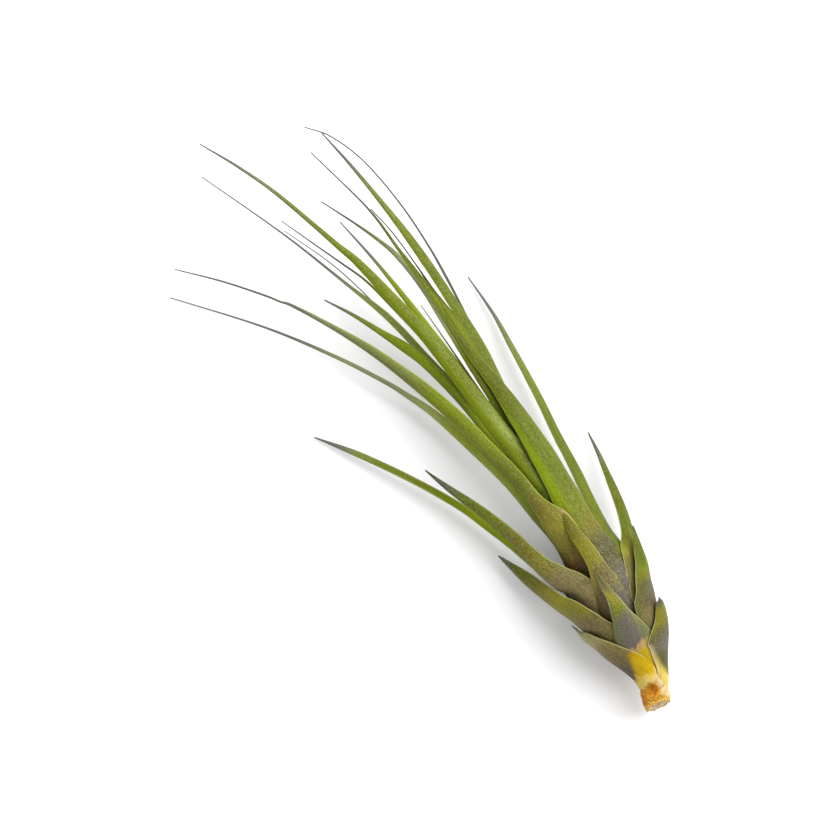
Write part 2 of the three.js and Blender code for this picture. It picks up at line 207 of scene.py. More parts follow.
@dataclass
class Nodes:
    """A small helper that writes shader nodes.

    Attributes:
        material: the material that the nodes belong to.
    """

    material: bpy.types.Material

    def __post_init__(self) -> None:
        """Clear the default nodes."""
        self.material.use_nodes = True
        self.tree = self.material.node_tree
        self.tree.nodes.clear()

    def add(self, kind: str, **values: object) -> bpy.types.Node:
        """Add a node and set its properties.

        Args:
            kind: the node's type name.
            values: properties to set on the node.

        Returns:
            The new node.
        """
        node = self.tree.nodes.new(kind)
        for key, value in values.items():
            setattr(node, key, value)
        return node

    def link(self, source: object, target: Socket) -> None:
        """Join a socket, or write a number or colour into it.

        Args:
            source: a socket, a number, a colour or a Hue.
            target: the input socket.
        """
        if isinstance(source, Socket):
            self.tree.links.new(source, target)
        else:
            target.default_value = source.linear if isinstance(source, Hue) else source

    def stored(self, name: str, output: str = "Vector") -> Socket:
        """Read what the mesh stores under a name."""
        return self.add("ShaderNodeAttribute", attribute_name=name).outputs[output]

    def split(self, vector: object) -> tuple[Socket, ...]:
        """Take a vector apart.

        Args:
            vector: the vector's socket.

        Returns:
            The sockets of its three parts.
        """
        node = self.add("ShaderNodeSeparateXYZ")
        self.link(vector, node.inputs[0])
        return tuple(node.outputs)

    def math(self, operation: str, a: object, b: object, clamp: bool = False) -> Socket:
        """Work out one sum or comparison.

        Args:
            operation: the name of the operation.
            a: first value or socket.
            b: second value or socket.
            clamp: keep the result between 0 and 1.

        Returns:
            The result's socket.
        """
        node = self.add("ShaderNodeMath", operation=operation, use_clamp=clamp)
        self.link(a, node.inputs[0])
        self.link(b, node.inputs[1])
        return node.outputs[0]

    def times(self, a: object, b: object, clamp: bool = False) -> Socket:
        """Two values multiplied, and kept between 0 and 1 if clamp is set."""
        return self.math("MULTIPLY", a, b, clamp)

    def fade(self, value: object, low: float, high: float) -> Socket:
        """A smooth step from 0 at low to 1 at high.

        Args:
            value: the socket that is read.
            low: where the step starts.
            high: where the step ends, which may be below low.

        Returns:
            The step's socket.
        """
        node = self.add("ShaderNodeMapRange", interpolation_type="SMOOTHSTEP")
        self.link(value, node.inputs["Value"])
        start, end, first, last = (low, high, 0.0, 1.0) if low < high else (high, low, 1.0, 0.0)
        node.inputs["From Min"].default_value = start
        node.inputs["From Max"].default_value = end
        node.inputs["To Min"].default_value = first
        node.inputs["To Max"].default_value = last
        return node.outputs["Result"]

    def mix(self, share: object, a: object, b: object, blend: Blend = Blend.COVER) -> Socket:
        """Mix two colours.

        Args:
            share: how much of the second colour.
            a: first colour.
            b: second colour.
            blend: how the second colour is laid over the first.

        Returns:
            The colour's socket.
        """
        node = self.add("ShaderNodeMix", data_type="RGBA", blend_type=blend.value)
        share_input, first_input, second_input = (node.inputs[i] for i in (0, 6, 7))
        self.link(share, share_input)
        self.link(a, first_input)
        self.link(b, second_input)
        return node.outputs[2]

    def tint(self, colour: object, amount: object, strength: float, tone: object) -> Socket:
        """Turn a colour towards another by an amount times a strength."""
        return self.mix(self.times(amount, strength), colour, tone)

    def wash(self, colour: object, grain: object, wash: Wash, scale: float = 1.0) -> Socket:
        """Lay a wash over a colour.

        Args:
            colour: the colour under the wash.
            grain: socket of the grain that shows it.
            wash: the wash.
            scale: multiplies its strength.

        Returns:
            The colour's socket.
        """
        amount = self.times(self.fade(grain, wash.start, wash.full), scale * wash.strength)
        return self.mix(amount, colour, wash.tone, wash.blend)

    def ramp(self, value: object, stops: list[tuple[float, Colour]]) -> Socket:
        """A run of colours.

        Args:
            value: the socket that runs along the colours, from 0 to 1.
            stops: places from 0 to 1 with their colours.

        Returns:
            The colour's socket.
        """
        node = self.add("ShaderNodeValToRGB")
        self.link(value, node.inputs[0])
        elements = node.color_ramp.elements
        while len(elements) < len(stops):
            elements.new(0.5)
        for element, (place, colour) in zip(elements, sorted(stops)):
            element.position = min(max(place, 0.0), 1.0)
            element.color = colour
        return node.outputs[0]

    def noise(self, vector: object, grain: Grain) -> Socket:
        """Read a grain at a place.

        Args:
            vector: socket of the place.
            grain: the grain.

        Returns:
            The value's socket.
        """
        scaled = self.add("ShaderNodeVectorMath", operation="MULTIPLY")
        self.link(vector, scaled.inputs[0])
        self.link(grain.scale, scaled.inputs[1])
        node = self.add("ShaderNodeTexNoise")
        self.link(scaled.outputs[0], node.inputs["Vector"])
        node.inputs["Scale"].default_value = 1.0
        node.inputs["Detail"].default_value = grain.detail
        node.inputs["Roughness"].default_value = grain.roughness
        return node.outputs["Fac"]

    def bump(self, height: object, strength: float, depth: float, before: object = None) -> Socket:
        """A bumped normal.

        Args:
            height: the height's socket.
            strength: how much of the bump shows.
            depth: depth of the bump in metres.
            before: an earlier bump that this one adds to.

        Returns:
            The normal's socket.
        """
        node = self.add("ShaderNodeBump")
        node.inputs["Strength"].default_value = strength
        node.inputs["Distance"].default_value = depth
        self.link(height, node.inputs["Height"])
        if before is not None:
            self.link(before, node.inputs["Normal"])
        return node.outputs[0]

    def surface(self, colour: object, rough: object, normal: object = None) -> bpy.types.Material:
        """Write the dull surface with its output.

        Args:
            colour: base colour.
            rough: roughness.
            normal: normal, or None.

        Returns:
            The finished material.
        """
        shader = self.add("ShaderNodeBsdfPrincipled")
        self.link(colour, shader.inputs["Base Color"])
        self.link(rough, shader.inputs["Roughness"])
        shader.inputs["Specular IOR Level"].default_value = SHEEN
        if normal is not None:
            self.link(normal, shader.inputs["Normal"])
        output = self.add("ShaderNodeOutputMaterial")
        self.tree.links.new(shader.outputs[0], output.inputs["Surface"])
        return self.material


@dataclass(frozen=True)
class Patch:
    """A differently coloured part of a leaf on one side of a slanting line.

    Attributes:
        run: colours of the part by their place along the plant.
        near: place along the plant and across the leaf where the line starts.
        far: place along the plant and across the leaf where the line ends.
        right: True if the part lies on the right of the line.
        top: place along the plant where the part fades out.
        soft: width of the blend across the line, in millimetres.
        foot: place along the plant where the part fades in.
        top_blend: length of the fade below the top.
        foot_blend: length of the fade above the foot.
    """

    run: Run
    near: tuple[float, float]
    far: tuple[float, float]
    right: bool
    top: float
    soft: float = 1.6
    foot: float = -10.0
    top_blend: float = 0.6
    foot_blend: float = 4.0


@dataclass(frozen=True)
class LeafFinish:
    """Skin of one leaf.

    Attributes:
        run: colours of the keel side by their place along the plant in millimetres.
        frost: grey scurf by place along the plant, from 0 to 1.
        flank: colour that the skin turns to towards its margins.
        flank_share: how far it turns.
        margin: colour of the thin margins.
        margin_width: width of the pale margin in millimetres.
        inner: colour mixed into the channel side.
        mottle: strength of the soft blotches.
        flank_from: share of the way to the margin where the flank colour begins.
        patch: a part with colours of its own, or None.
        margin_from: place along the plant above which the margin is pale, or 0 for all of it.
        ash: places along the plant where the tip starts and ends turning ash grey, or None.
    """

    run: Run
    frost: tuple[tuple[float, float], ...]
    flank: Hue = Hue.OLIVE
    flank_share: float = 0.25
    margin: Hue = Hue.MARGIN
    margin_width: float = 0.28
    inner: Hue = Hue.YELLOW_GREEN
    mottle: float = 0.5
    flank_from: float = 0.35
    patch: Patch | None = None
    margin_from: float = 0.0
    ash: Range | None = None


# Grains of a leaf's skin: across the leaf, along it, and from one leaf or side to the next.
WANDER = Grain((0.5, 0.16, 1.0), 3.0)
BLOTCHES = Grain((0.9, 0.3, 1.0), 4.0, 0.6)
VEINS = Grain((5.0, 0.05, 1.0), 2.0)
STREAKS = Grain((1.9, 0.08, 1.0), 3.0)
SCALES = Grain((3.6, 2.2, 1.0), 3.0, 0.75)

# What they show. The two inks are linear light, and nearly black.
VEIN_INK = (0.03, 0.05, 0.0, 1.0)
SKIN_INK = (0.03, 0.04, 0.0, 1.0)
BLOTCH_DARK = Wash(0.52, 0.32, 0.33, Hue.OLIVE_DEEP, Blend.MULTIPLY)
BLOTCH_LIGHT = Wash(0.5, 0.72, 0.35, Hue.LIME)
VEIN_DARK = Wash(0.6, 0.35, 0.16, VEIN_INK)
STREAK_DARK = Wash(0.5, 0.34, 0.17, SKIN_INK)
STREAK_LIGHT = Wash(0.54, 0.7, 0.16, Hue.LIME)
SCALE_DARK = Wash(0.5, 0.36, 0.24, SKIN_INK)
SCALE_LIGHT = Wash(0.52, 0.66, 0.18, Hue.MARGIN)
SCURF = Wash(0.5, 0.62, 0.6, Hue.SCURF)
PITS = Wash(0.48, 0.36, 0.72, Hue.PURPLE_DARK)


@dataclass
class LeafPaint:
    """Writes the skin of one leaf, one layer over another.

    Attributes:
        finish: the leaf's colours.
        name: name of the material.
        start: place of the leaf's foot along the plant, in millimetres.
        end: place of its tip along the plant.
        wander: how far apart the noise can set the colours along the leaf, in millimetres.
        channel_share: how far the channel side turns to its own colour.
        patch_veins: how far a patch hides the veins.
        rim_fade: shares of the leaf's length between which the pale margin dies away.
        rim_core: share of the margin's width that is fully pale.
        rim_strength: how pale it is.
        rim_blend: half the length over which a margin that starts higher up fades in.
        ash_strength: how far an ash grey tip turns.
        bump_depth: depth of the scales and the veins, in metres.
        scale_bump: how much of the scales shows.
        vein_bump: how much of the veins shows.
        rough: roughness of the bare skin.
        scurf_rough: what full scurf adds to it.
    """

    finish: LeafFinish
    name: str
    start: float
    end: float
    wander: float = 5.0
    channel_share: float = 0.35
    patch_veins: float = 0.8
    rim_fade: Range = (0.9, 0.65)
    rim_core: float = 0.4
    rim_strength: float = 0.8
    rim_blend: float = 1.0
    ash_strength: float = 0.92
    bump_depth: float = 0.12 * MM
    scale_bump: float = 0.35
    vein_bump: float = 0.5
    rough: float = 0.5
    scurf_rough: float = 0.25

    def __post_init__(self) -> None:
        """Read what the mesh stores, and the grains at it."""
        nodes = Nodes(bpy.data.materials.new(self.name))
        self.nodes = nodes
        self.along, self.edge, self.across = nodes.split(nodes.stored("place"))
        self.skin = nodes.stored("skin")
        self.inner = nodes.stored("inner", "Fac")
        stray = nodes.math("SUBTRACT", nodes.noise(self.skin, WANDER), 0.5)
        shift = nodes.times(stray, self.wander / (self.end - self.start))
        self.reach = nodes.math("ADD", self.along, shift, clamp=True)
        self.blotches = nodes.noise(self.skin, BLOTCHES)
        self.veins = nodes.noise(self.skin, VEINS)
        self.streaks = nodes.noise(self.skin, STREAKS)
        self.scales = nodes.noise(self.skin, SCALES)

    def share(self, y: float) -> float:
        """A place along the plant as a share of the way from the leaf's foot to its tip."""
        return (y - self.start) / (self.end - self.start)

    def colours(self, run: Run) -> Socket:
        """A run of colours along the leaf, at places that stray a little."""
        return self.nodes.ramp(self.reach, [(self.share(y), hue.linear) for y, hue in run])

    def ground(self) -> Socket:
        """Lay the run of colours, the flanks and the channel side.

        Returns:
            The colour's socket.
        """
        colour = self.colours(self.finish.run)
        flank = self.nodes.fade(self.across, self.finish.flank_from, 1.0)
        colour = self.nodes.tint(colour, flank, self.finish.flank_share, self.finish.flank)
        return self.nodes.tint(colour, self.inner, self.channel_share, self.finish.inner)

    def patch_share(self, patch: Patch) -> Socket:
        """Find where a patch lies.

        Args:
            patch: the patch.

        Returns:
            The socket of its share, 1 inside the patch and 0 outside it.
        """
        nodes = self.nodes
        slope = (patch.far[1] - patch.near[1]) / (patch.far[0] - patch.near[0])
        lean = slope * (self.end - self.start)
        base = patch.near[1] - lean * self.share(patch.near[0])
        line = nodes.math("ADD", nodes.times(self.along, lean), base)
        beyond = nodes.math("SUBTRACT", nodes.split(self.skin)[0], line)
        half = patch.soft / 2 if patch.right else -patch.soft / 2
        top = nodes.fade(self.reach, self.share(patch.top), self.share(patch.top - patch.top_blend))
        foot = nodes.fade(self.reach, self.share(patch.foot), self.share(patch.foot + patch.foot_blend))
        return nodes.times(nodes.times(nodes.fade(beyond, -half, half), top), foot)

    def patterned(self, colour: object, part: object) -> Socket:
        """Lay the blotches, the veins and the streaks.

        Args:
            colour: the colour under them.
            part: share of the patch, which hides most of the veins, or None.

        Returns:
            The colour's socket.
        """
        nodes = self.nodes
        colour = nodes.wash(colour, self.blotches, BLOTCH_DARK, self.finish.mottle)
        colour = nodes.wash(colour, self.blotches, BLOTCH_LIGHT, self.finish.mottle)
        ink = nodes.times(nodes.fade(self.veins, VEIN_DARK.start, VEIN_DARK.full), VEIN_DARK.strength)
        if part is not None:
            ink = nodes.times(ink, nodes.math("SUBTRACT", 1.0, nodes.times(part, self.patch_veins)))
        colour = nodes.mix(ink, colour, VEIN_DARK.tone)
        colour = nodes.wash(colour, self.streaks, STREAK_DARK)
        return nodes.wash(colour, self.streaks, STREAK_LIGHT)

    def frosted(self, colour: object, part: object) -> tuple[Socket, Socket]:
        """Lay the scales, the grey scurf and the dark pits between its flakes.

        Args:
            colour: the colour under them.
            part: share of the patch, which bears no scurf, or None.

        Returns:
            The sockets of the colour and of the scurf.
        """
        nodes = self.nodes
        amounts = [(self.share(y), (amount, amount, amount, 1.0)) for y, amount in self.finish.frost]
        frost = nodes.ramp(self.along, amounts)
        if part is not None:
            frost = nodes.times(frost, nodes.math("SUBTRACT", 1.0, part))
        colour = nodes.wash(colour, self.scales, SCALE_DARK)
        colour = nodes.wash(colour, self.scales, SCALE_LIGHT)
        scurf = nodes.times(nodes.fade(self.scales, SCURF.start, SCURF.full), frost, clamp=True)
        colour = nodes.tint(colour, scurf, SCURF.strength, SCURF.tone)
        pits = nodes.times(nodes.fade(self.scales, PITS.start, PITS.full), frost, clamp=True)
        return nodes.tint(colour, pits, PITS.strength, PITS.tone), scurf

    def edged(self, colour: object) -> Socket:
        """Lay the pale margins and the ash grey tip.

        Args:
            colour: the colour under them.

        Returns:
            The colour's socket.
        """
        nodes, finish = self.nodes, self.finish
        rim = nodes.fade(self.edge, finish.margin_width, self.rim_core * finish.margin_width)
        rim = nodes.times(rim, nodes.fade(self.along, *self.rim_fade))
        if finish.margin_from:
            low, high = (self.share(finish.margin_from + side * self.rim_blend) for side in (-1, 1))
            rim = nodes.times(rim, nodes.fade(self.along, low, high))
        colour = nodes.tint(colour, rim, self.rim_strength, finish.margin)
        if finish.ash is None:
            return colour
        tip = nodes.fade(self.along, *(self.share(y) for y in finish.ash))
        return nodes.tint(colour, tip, self.ash_strength, Hue.ASH)

    def material(self) -> bpy.types.Material:
        """Build the leaf's material.

        Returns:
            The material.
        """
        nodes, patch = self.nodes, self.finish.patch
        colour = self.ground()
        part = None
        if patch is not None:
            part = self.patch_share(patch)
            colour = nodes.mix(part, colour, self.colours(patch.run))
        colour = self.patterned(colour, part)
        colour, scurf = self.frosted(colour, part)
        colour = self.edged(colour)
        rough = nodes.math("ADD", nodes.times(scurf, self.scurf_rough), self.rough)
        fine = nodes.bump(self.scales, self.scale_bump, self.bump_depth)
        ribs = nodes.bump(self.veins, self.vein_bump, self.bump_depth, fine)
        return nodes.surface(colour, rough, ribs)


def smooth(knots: np.ndarray, values: np.ndarray, at: np.ndarray) -> np.ndarray:
    """Smooth curve through rows of numbers.

    Args:
        knots: rising places of the rows.
        values: one row of numbers for each knot.
        at: places to read.

    Returns:
        One row of numbers for each place.
    """
    values = np.asarray(values, float)
    flat = values.ndim == 1
    table = values[:, None] if flat else values
    slope = np.empty_like(table)
    slope[1:-1] = (table[2:] - table[:-2]) / (knots[2:] - knots[:-2])[:, None]
    slope[0] = (table[1] - table[0]) / (knots[1] - knots[0])
    slope[-1] = (table[-1] - table[-2]) / (knots[-1] - knots[-2])
    cell = np.clip(np.searchsorted(knots, at) - 1, 0, len(knots) - 2)
    width = (knots[cell + 1] - knots[cell])[:, None]
    t = np.clip((at - knots[cell])[:, None] / width, 0, 1)
    t2, t3 = t * t, t * t * t
    out = (
        table[cell] * (2 * t3 - 3 * t2 + 1)
        + slope[cell] * width * (t3 - 2 * t2 + t)
        + table[cell + 1] * (3 * t2 - 2 * t3)
        + slope[cell + 1] * width * (t3 - t2)
    )
    return out[:, 0] if flat else out


def unit(vectors: np.ndarray) -> np.ndarray:
    """Each row divided by its length."""
    return vectors / np.linalg.norm(vectors, axis=1, keepdims=True)


def place(points: np.ndarray) -> np.ndarray:
    """Plant millimetres as metres in the frame of the CAD part."""
    return (points - np.array([MID_X, MID_Y, 0.0])) * MM


def around(outer: np.ndarray, inner: np.ndarray) -> np.ndarray:
    """Rows that run over a leaf's outer skin and back over its inner one."""
    return np.concatenate([outer, inner[:, ::-1]], axis=1)


@dataclass(frozen=True)
class Wave:
    """A ripple.

    Attributes:
        size: height of the ripple.
        rate: radians of the ripple for each unit of the line that it runs along.
        shift: radians that it moves for each unit of a second value.
    """

    size: float
    rate: float
    shift: float = 0.0


def ripple(waves: tuple[Wave, ...], along: np.ndarray, second: float = 0.0) -> np.ndarray:
    """Waves added together.

    Args:
        waves: the waves.
        along: places on the line that they run along.
        second: the value that shifts them.

    Returns:
        The height at each place.
    """
    return sum(wave.size * np.sin(wave.rate * along + wave.shift * second) for wave in waves)


def tube_faces(rings: int, count: int, flip: bool = False) -> list[tuple[int, ...]]:
    """Faces between the rings of an open tube.

    Args:
        rings: how many rings there are.
        count: how many corners a ring has.
        flip: turn each face over.

    Returns:
        The corners of each face.
    """
    faces = []
    for low in range(0, (rings - 1) * count, count):
        for j in range(count):
            k = (j + 1) % count
            a, b, c, d = low + j, low + k, low + count + k, low + count + j
            faces.append((a, d, c, b) if flip else (a, b, c, d))
    return faces


def ribbon_faces(rings: int, strips: int) -> list[tuple[int, ...]]:
    """Faces of a ribbon that is closed at both ends.

    Args:
        rings: how many rings there are, each of which runs as ``around`` lays them.
        strips: how many faces lie side by side on either skin.

    Returns:
        The corners of each face.
    """
    count = 2 * (strips + 1)
    faces = tube_faces(rings, count)
    top = (rings - 1) * count
    for j in range(strips):
        faces.append((j, count - 1 - j, count - 2 - j, j + 1))
        faces.append((top + j + 1, top + count - 2 - j, top + count - 1 - j, top + j))
    return faces


def mesh_object(name: str, points: np.ndarray, faces: list[tuple[int, ...]]) -> bpy.types.Object:
    """Make a smooth-shaded mesh object in the scene.

    Args:
        name: the object's name.
        points: corners in metres.
        faces: corners of each face.

    Returns:
        The object.
    """
    mesh = bpy.data.meshes.new(name)
    mesh.from_pydata(points.tolist(), [], faces)
    mesh.update()
    mesh.polygons.foreach_set("use_smooth", np.ones(len(mesh.polygons), bool))
    piece = bpy.data.objects.new(name, mesh)
    bpy.context.scene.collection.objects.link(piece)
    return piece


def store(piece: bpy.types.Object, name: str, values: np.ndarray) -> None:
    """Store a number or vector on each corner of a mesh.

    Args:
        piece: the mesh object.
        name: the attribute's name.
        values: one value or vector for each corner.
    """
    kind, key = ("FLOAT", "value") if values.ndim == 1 else ("FLOAT_VECTOR", "vector")
    attribute = piece.data.attributes.new(name, kind, "POINT")
    attribute.data.foreach_set(key, np.ascontiguousarray(values, np.float32).ravel())


@dataclass(frozen=True)
class Keel:
    """A place on the keel of a free blade, in plant millimetres.

    Attributes:
        x: place across the plant.
        y: place along the plant.
        z: height of the keel.
        width: width of the blade from margin to margin.
        radius: radius of the channel, or 0 for the usual fold.
    """

    x: float
    y: float
    z: float
    width: float
    radius: float = 0.0


@dataclass(frozen=True)
class Clasp:
    """A place on the part of a leaf that clasps the stem.

    Attributes:
        y: place along the plant.
        half: half angle clasped, in degrees.
        lift: radial offset from the layer, in millimetres.
        turn: turn of the keel from the leaf's own direction, in degrees.
    """

    y: float
    half: float
    lift: float = 0.0
    turn: float = 0.0


@dataclass(frozen=True)
class LeafForm:
    """Sizes that all leaves share, in millimetres unless something else is said.

    Attributes:
        layer_step: how much nearer to the stem a layer of sheaths lies than the one outside it.
        fold: half angle of the channel of a free blade, in degrees.
        fullest: largest half width of a channel as a share of its radius.
        blade_lean: how square the first place of a blade stands to its keel, from 0 to 1.
        wall: thickness at the keel.
        wall_limit: largest thickness as a share of the channel's radius.
        wall_curve: how late the wall thins towards the margins.
        margin_wall: thickness at the margins.
        thinnest: share of the thickness that is left at the foot and at the tip.
        tip_taper: length over which the tip thins.
        foot_taper: length over which the foot thins and sinks.
        foot_sunk: how far the foot is sunk into the stem.
        tuck: how far the margins of a sheath are pressed towards the stem.
        tuck_curve: how late the pressing starts towards the margins.
        reach: how far ahead and behind the keel's direction is read.
        ring_crowding: how far the rings are drawn towards both ends, as a share of the length.
        strip_crowding: how much closer the strips lie at the margins, where 1 is evenly.
        waves: ripples of the margins along the leaf, as shares of the half angle.
        tears: ripples of the torn foot round the stem.
        tear_reach: length over which the tears fade.
        side_shift: how far apart the patterns of the two sides are read.
        seed_shift: how far apart the patterns of leaves are read, for each unit of their seeds.
    """

    layer_step: float = 1.1
    fold: float = 52.0
    fullest: float = 0.985
    blade_lean: float = 0.5
    wall: float = 0.55
    wall_limit: float = 0.8
    wall_curve: float = 2.5
    margin_wall: float = 0.084
    thinnest: float = 0.3
    tip_taper: float = 1.2
    foot_taper: float = 2.5
    foot_sunk: float = 0.4
    tuck: float = 0.85
    tuck_curve: float = 3.0
    reach: float = 0.4
    ring_crowding: float = 0.04
    strip_crowding: float = 1.25
    waves: tuple[Wave, ...] = (Wave(0.012, 1 / 2.3, 1), Wave(0.008, 1 / 0.9, 2))
    tears: tuple[Wave, ...] = (Wave(0.22, 5, 1), Wave(0.16, 13.7, 2))
    tear_reach: float = 2.0
    side_shift: float = 3.0
    seed_shift: float = 7.3


@dataclass(frozen=True)
class Sweep:
    """What a leaf's section is at each ring of its mesh.

    Attributes:
        at: way along the keel to each ring, in millimetres.
        table: the leaf's rows, read at each ring.
        out: direction that the keel faces.
        side: direction of the right margin.
        share: place of each corner from margin to margin, from -1 to 1.
        angle: direction of each corner of each ring from the keel, in radians.
    """

    at: np.ndarray
    table: np.ndarray
    out: np.ndarray
    side: np.ndarray
    share: np.ndarray
    angle: np.ndarray


@dataclass
class Leaf:
    """One leaf: a clasping sheath that runs into a free channelled blade.

    Attributes:
        name: name of the leaf's node in the frame.
        slot: material slot of the record; nothing here reads it.
        layer: how many sheaths lie outside this one.
        keel: direction that the keel faces, in degrees: 0 right, 90 up, 180 left.
        tip_keel: direction that the keel faces at the tip.
        sheath: the clasping part.
        blade: the free part.
        finish: the leaf's skin.
        seed: shifts the ripples and the pattern of the skin.
        rings: how many rings the mesh has along the leaf.
        strips: how many faces it has from margin to margin.
        form: the sizes that it shares with the other leaves.
    """

    name: str
    slot: Slot
    layer: int
    keel: float
    tip_keel: float
    sheath: tuple[Clasp, ...]
    blade: tuple[Keel, ...]
    finish: LeafFinish
    seed: float
    rings: int = 150
    strips: int = 18
    form: LeafForm = LeafForm()

    def clasp_row(self, clasp: Clasp) -> tuple[float, ...]:
        """One place of the sheath as a row.

        Args:
            clasp: the place.

        Returns:
            Its x, y, z, radius, half angle, keel direction and lean.
        """
        at = np.array([clasp.y])
        x, z = (smooth(AXIS[:, 0], AXIS[:, c], at)[0] for c in (1, 2))
        radius = smooth(BULB[:, 0], BULB[:, 1], at)[0] - self.form.layer_step * self.layer + clasp.lift
        keel = self.keel + clasp.turn
        turn = math.radians(keel)
        x, z = x + radius * math.cos(turn), z + radius * math.sin(turn)
        return (x, clasp.y, z, radius, clasp.half, keel, 0.0)

    def keel_row(self, point: Keel, share: float) -> tuple[float, ...]:
        """One place of the blade as a row.

        Args:
            point: the place.
            share: how far along the blade's places it is, from 0 to 1.

        Returns:
            Its x, y, z, radius, half angle, keel direction and lean.
        """
        half, radius = self.form.fold, point.radius
        if radius:
            half = math.degrees(math.asin(min(point.width / (2 * radius), self.form.fullest)))
        else:
            radius = point.width / (2 * math.sin(math.radians(half)))
        keel = self.keel + (self.tip_keel - self.keel) * share
        return (point.x, point.y, point.z, radius, half, keel, min(1.0, self.form.blade_lean + share))

    def rows(self) -> np.ndarray:
        """Every given place in one form.

        Returns:
            Rows of x, y, z, radius, half angle, keel direction and lean.
        """
        rows = [self.clasp_row(clasp) for clasp in self.sheath]
        rows += [self.keel_row(point, count / len(self.blade)) for count, point in enumerate(self.blade, 1)]
        return np.array(rows)

    def sweep(self, rows: np.ndarray) -> Sweep:
        """Read the leaf's rows at each ring of its mesh.

        Args:
            rows: the leaf's rows.

        Returns:
            The sections.
        """
        form = self.form
        steps = np.linalg.norm(np.diff(rows[:, :3], axis=0), axis=1)
        knots = np.concatenate([[0.0], np.cumsum(steps)])
        length = knots[-1]
        at = np.linspace(0, 1, self.rings)
        at = length * (at - form.ring_crowding * np.sin(2 * math.pi * at))
        table = smooth(knots, rows, at)
        ahead, behind = (
            smooth(knots, rows[:, :3], np.clip(at + reach, 0, length)) for reach in (form.reach, -form.reach)
        )
        tangent = unit(ahead - behind)
        turn, lean = np.radians(table[:, 5]), table[:, 6:7]
        facing = np.stack([np.cos(turn), np.zeros_like(turn), np.sin(turn)], axis=1)
        square = unit(facing - tangent * np.sum(facing * tangent, axis=1, keepdims=True))
        out = unit(facing * (1 - lean) + square * lean)
        course = unit(np.array([[0.0, 1.0, 0.0]]) * (1 - lean) + tangent * lean)
        share = np.linspace(-1, 1, self.strips + 1)
        share = np.sign(share) * (1 - (1 - np.abs(share)) ** form.strip_crowding)
        half = np.radians(table[:, 4]) * (1 + ripple(form.waves, at, self.seed))
        return Sweep(at, table, out, unit(np.cross(course, out)), share, half[:, None] * share[None, :])

    def shell(self, sweep: Sweep) -> np.ndarray:
        """Lay the corners of the leaf's two skins.

        Args:
            sweep: the leaf's sections.

        Returns:
            The corners of each ring in plant millimetres.
        """
        form, at = self.form, sweep.at[:, None]
        radius, lean, spread = sweep.table[:, 3:4], sweep.table[:, 6:7], np.abs(sweep.share)[None, :]
        centre = sweep.table[:, :3] - sweep.out * radius
        wall = np.minimum(form.wall, form.wall_limit * radius)
        thickness = form.margin_wall + (wall - form.margin_wall) * (1 - spread ** form.wall_curve)
        ends = np.minimum((at[-1] - at) / form.tip_taper, at / form.foot_taper)
        sunk = form.foot_sunk * np.clip(1 - at / form.foot_taper, 0, 1) ** 2
        outer = radius - sunk - form.tuck * (1 - lean) * spread ** form.tuck_curve
        skins = (
            centre[:, None, :]
            + (reach * np.cos(sweep.angle))[..., None] * sweep.out[:, None, :]
            + (reach * np.sin(sweep.angle))[..., None] * sweep.side[:, None, :]
            for reach in (outer, outer - thickness * np.clip(ends, form.thinnest, 1))
        )
        ring = around(*skins)
        foot = ripple(form.tears, sweep.angle[:1], self.seed) * np.clip(1 - at / form.tear_reach, 0, 1) ** 2
        ring[:, :, 1] += around(foot, foot)
        return ring

    def mark(self, piece: bpy.types.Object, sweep: Sweep) -> None:
        """Store where each corner lies on the leaf, for its skin.

        Args:
            piece: the leaf's mesh.
            sweep: the leaf's sections.
        """
        whole = np.ones_like(sweep.angle)
        y, radius, half = (sweep.table[:, c:c + 1] for c in (1, 3, 4))
        along = (y - y[0]) / (y[-1] - y[0]) * whole
        spread = np.abs(sweep.share)[None, :] * whole
        edge = radius * np.radians(half) * (1 - spread)
        across, way = radius * sweep.angle, sweep.at[:, None] * whole
        level = around(0 * whole, whole).ravel()
        shift = level * self.form.side_shift + self.form.seed_shift * self.seed
        store(piece, "place", np.stack([around(a, a).ravel() for a in (along, edge, spread)], axis=1))
        store(piece, "skin", np.stack([*(around(a, a).ravel() for a in (across, way)), shift], axis=1))
        store(piece, "inner", level)

    def build(self) -> bpy.types.Object:
        """Sweep the leaf's section along its keel.

        Returns:
            The leaf as one closed mesh.
        """
        sweep = self.sweep(self.rows())
        points = self.shell(sweep).reshape(-1, 3)
        piece = mesh_object(f"{self.name}_skin", place(points), ribbon_faces(self.rings, self.strips))
        self.mark(piece, sweep)
        return piece

    def dress(self, piece: bpy.types.Object) -> None:
        """Give the leaf its skin and its place in the frame.

        Args:
            piece: the leaf's mesh.
        """
        rows = self.rows()
        paint = LeafPaint(self.finish, f"{self.name}_skin", rows[0, 1], rows[-1, 1])
        piece.data.materials.append(paint.material())
        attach(piece, ROOT_BODY)
        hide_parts(self.name)


# Skins of the leaves. UNDERSIDE, THREAD and HEART are shared, and each of the others is named after its leaf.
BASE_RIGHT = LeafFinish(
    run=(
        (1, Hue.CREAM), (4.6, Hue.CREAM_PALE), (5.8, Hue.YELLOW_OLIVE), (7.6, Hue.DUSK), (10, Hue.DUSK),
        (12, Hue.PURPLE_GREY), (14.8, Hue.EARTH), (16.4, Hue.MOSS), (20.5, Hue.MOSS),
        (21.4, Hue.TIP_DARK), (22.4, Hue.TIP_DARK),
    ),
    flank_share=0.15, frost=((0, 0.0), (6, 0.05), (9, 0.4), (16, 0.3), (22, 0.2)), margin=Hue.CREAM_PALE,
    margin_width=0.34, mottle=0.4, margin_from=6,
    patch=Patch(
        run=((2, Hue.CREAM), (7, Hue.CREAM), (13, Hue.CREAM_PALE)),
        near=(5.2, -1.4), far=(13, -8.2), right=False, top=14.5, soft=2.4,
    ),
)
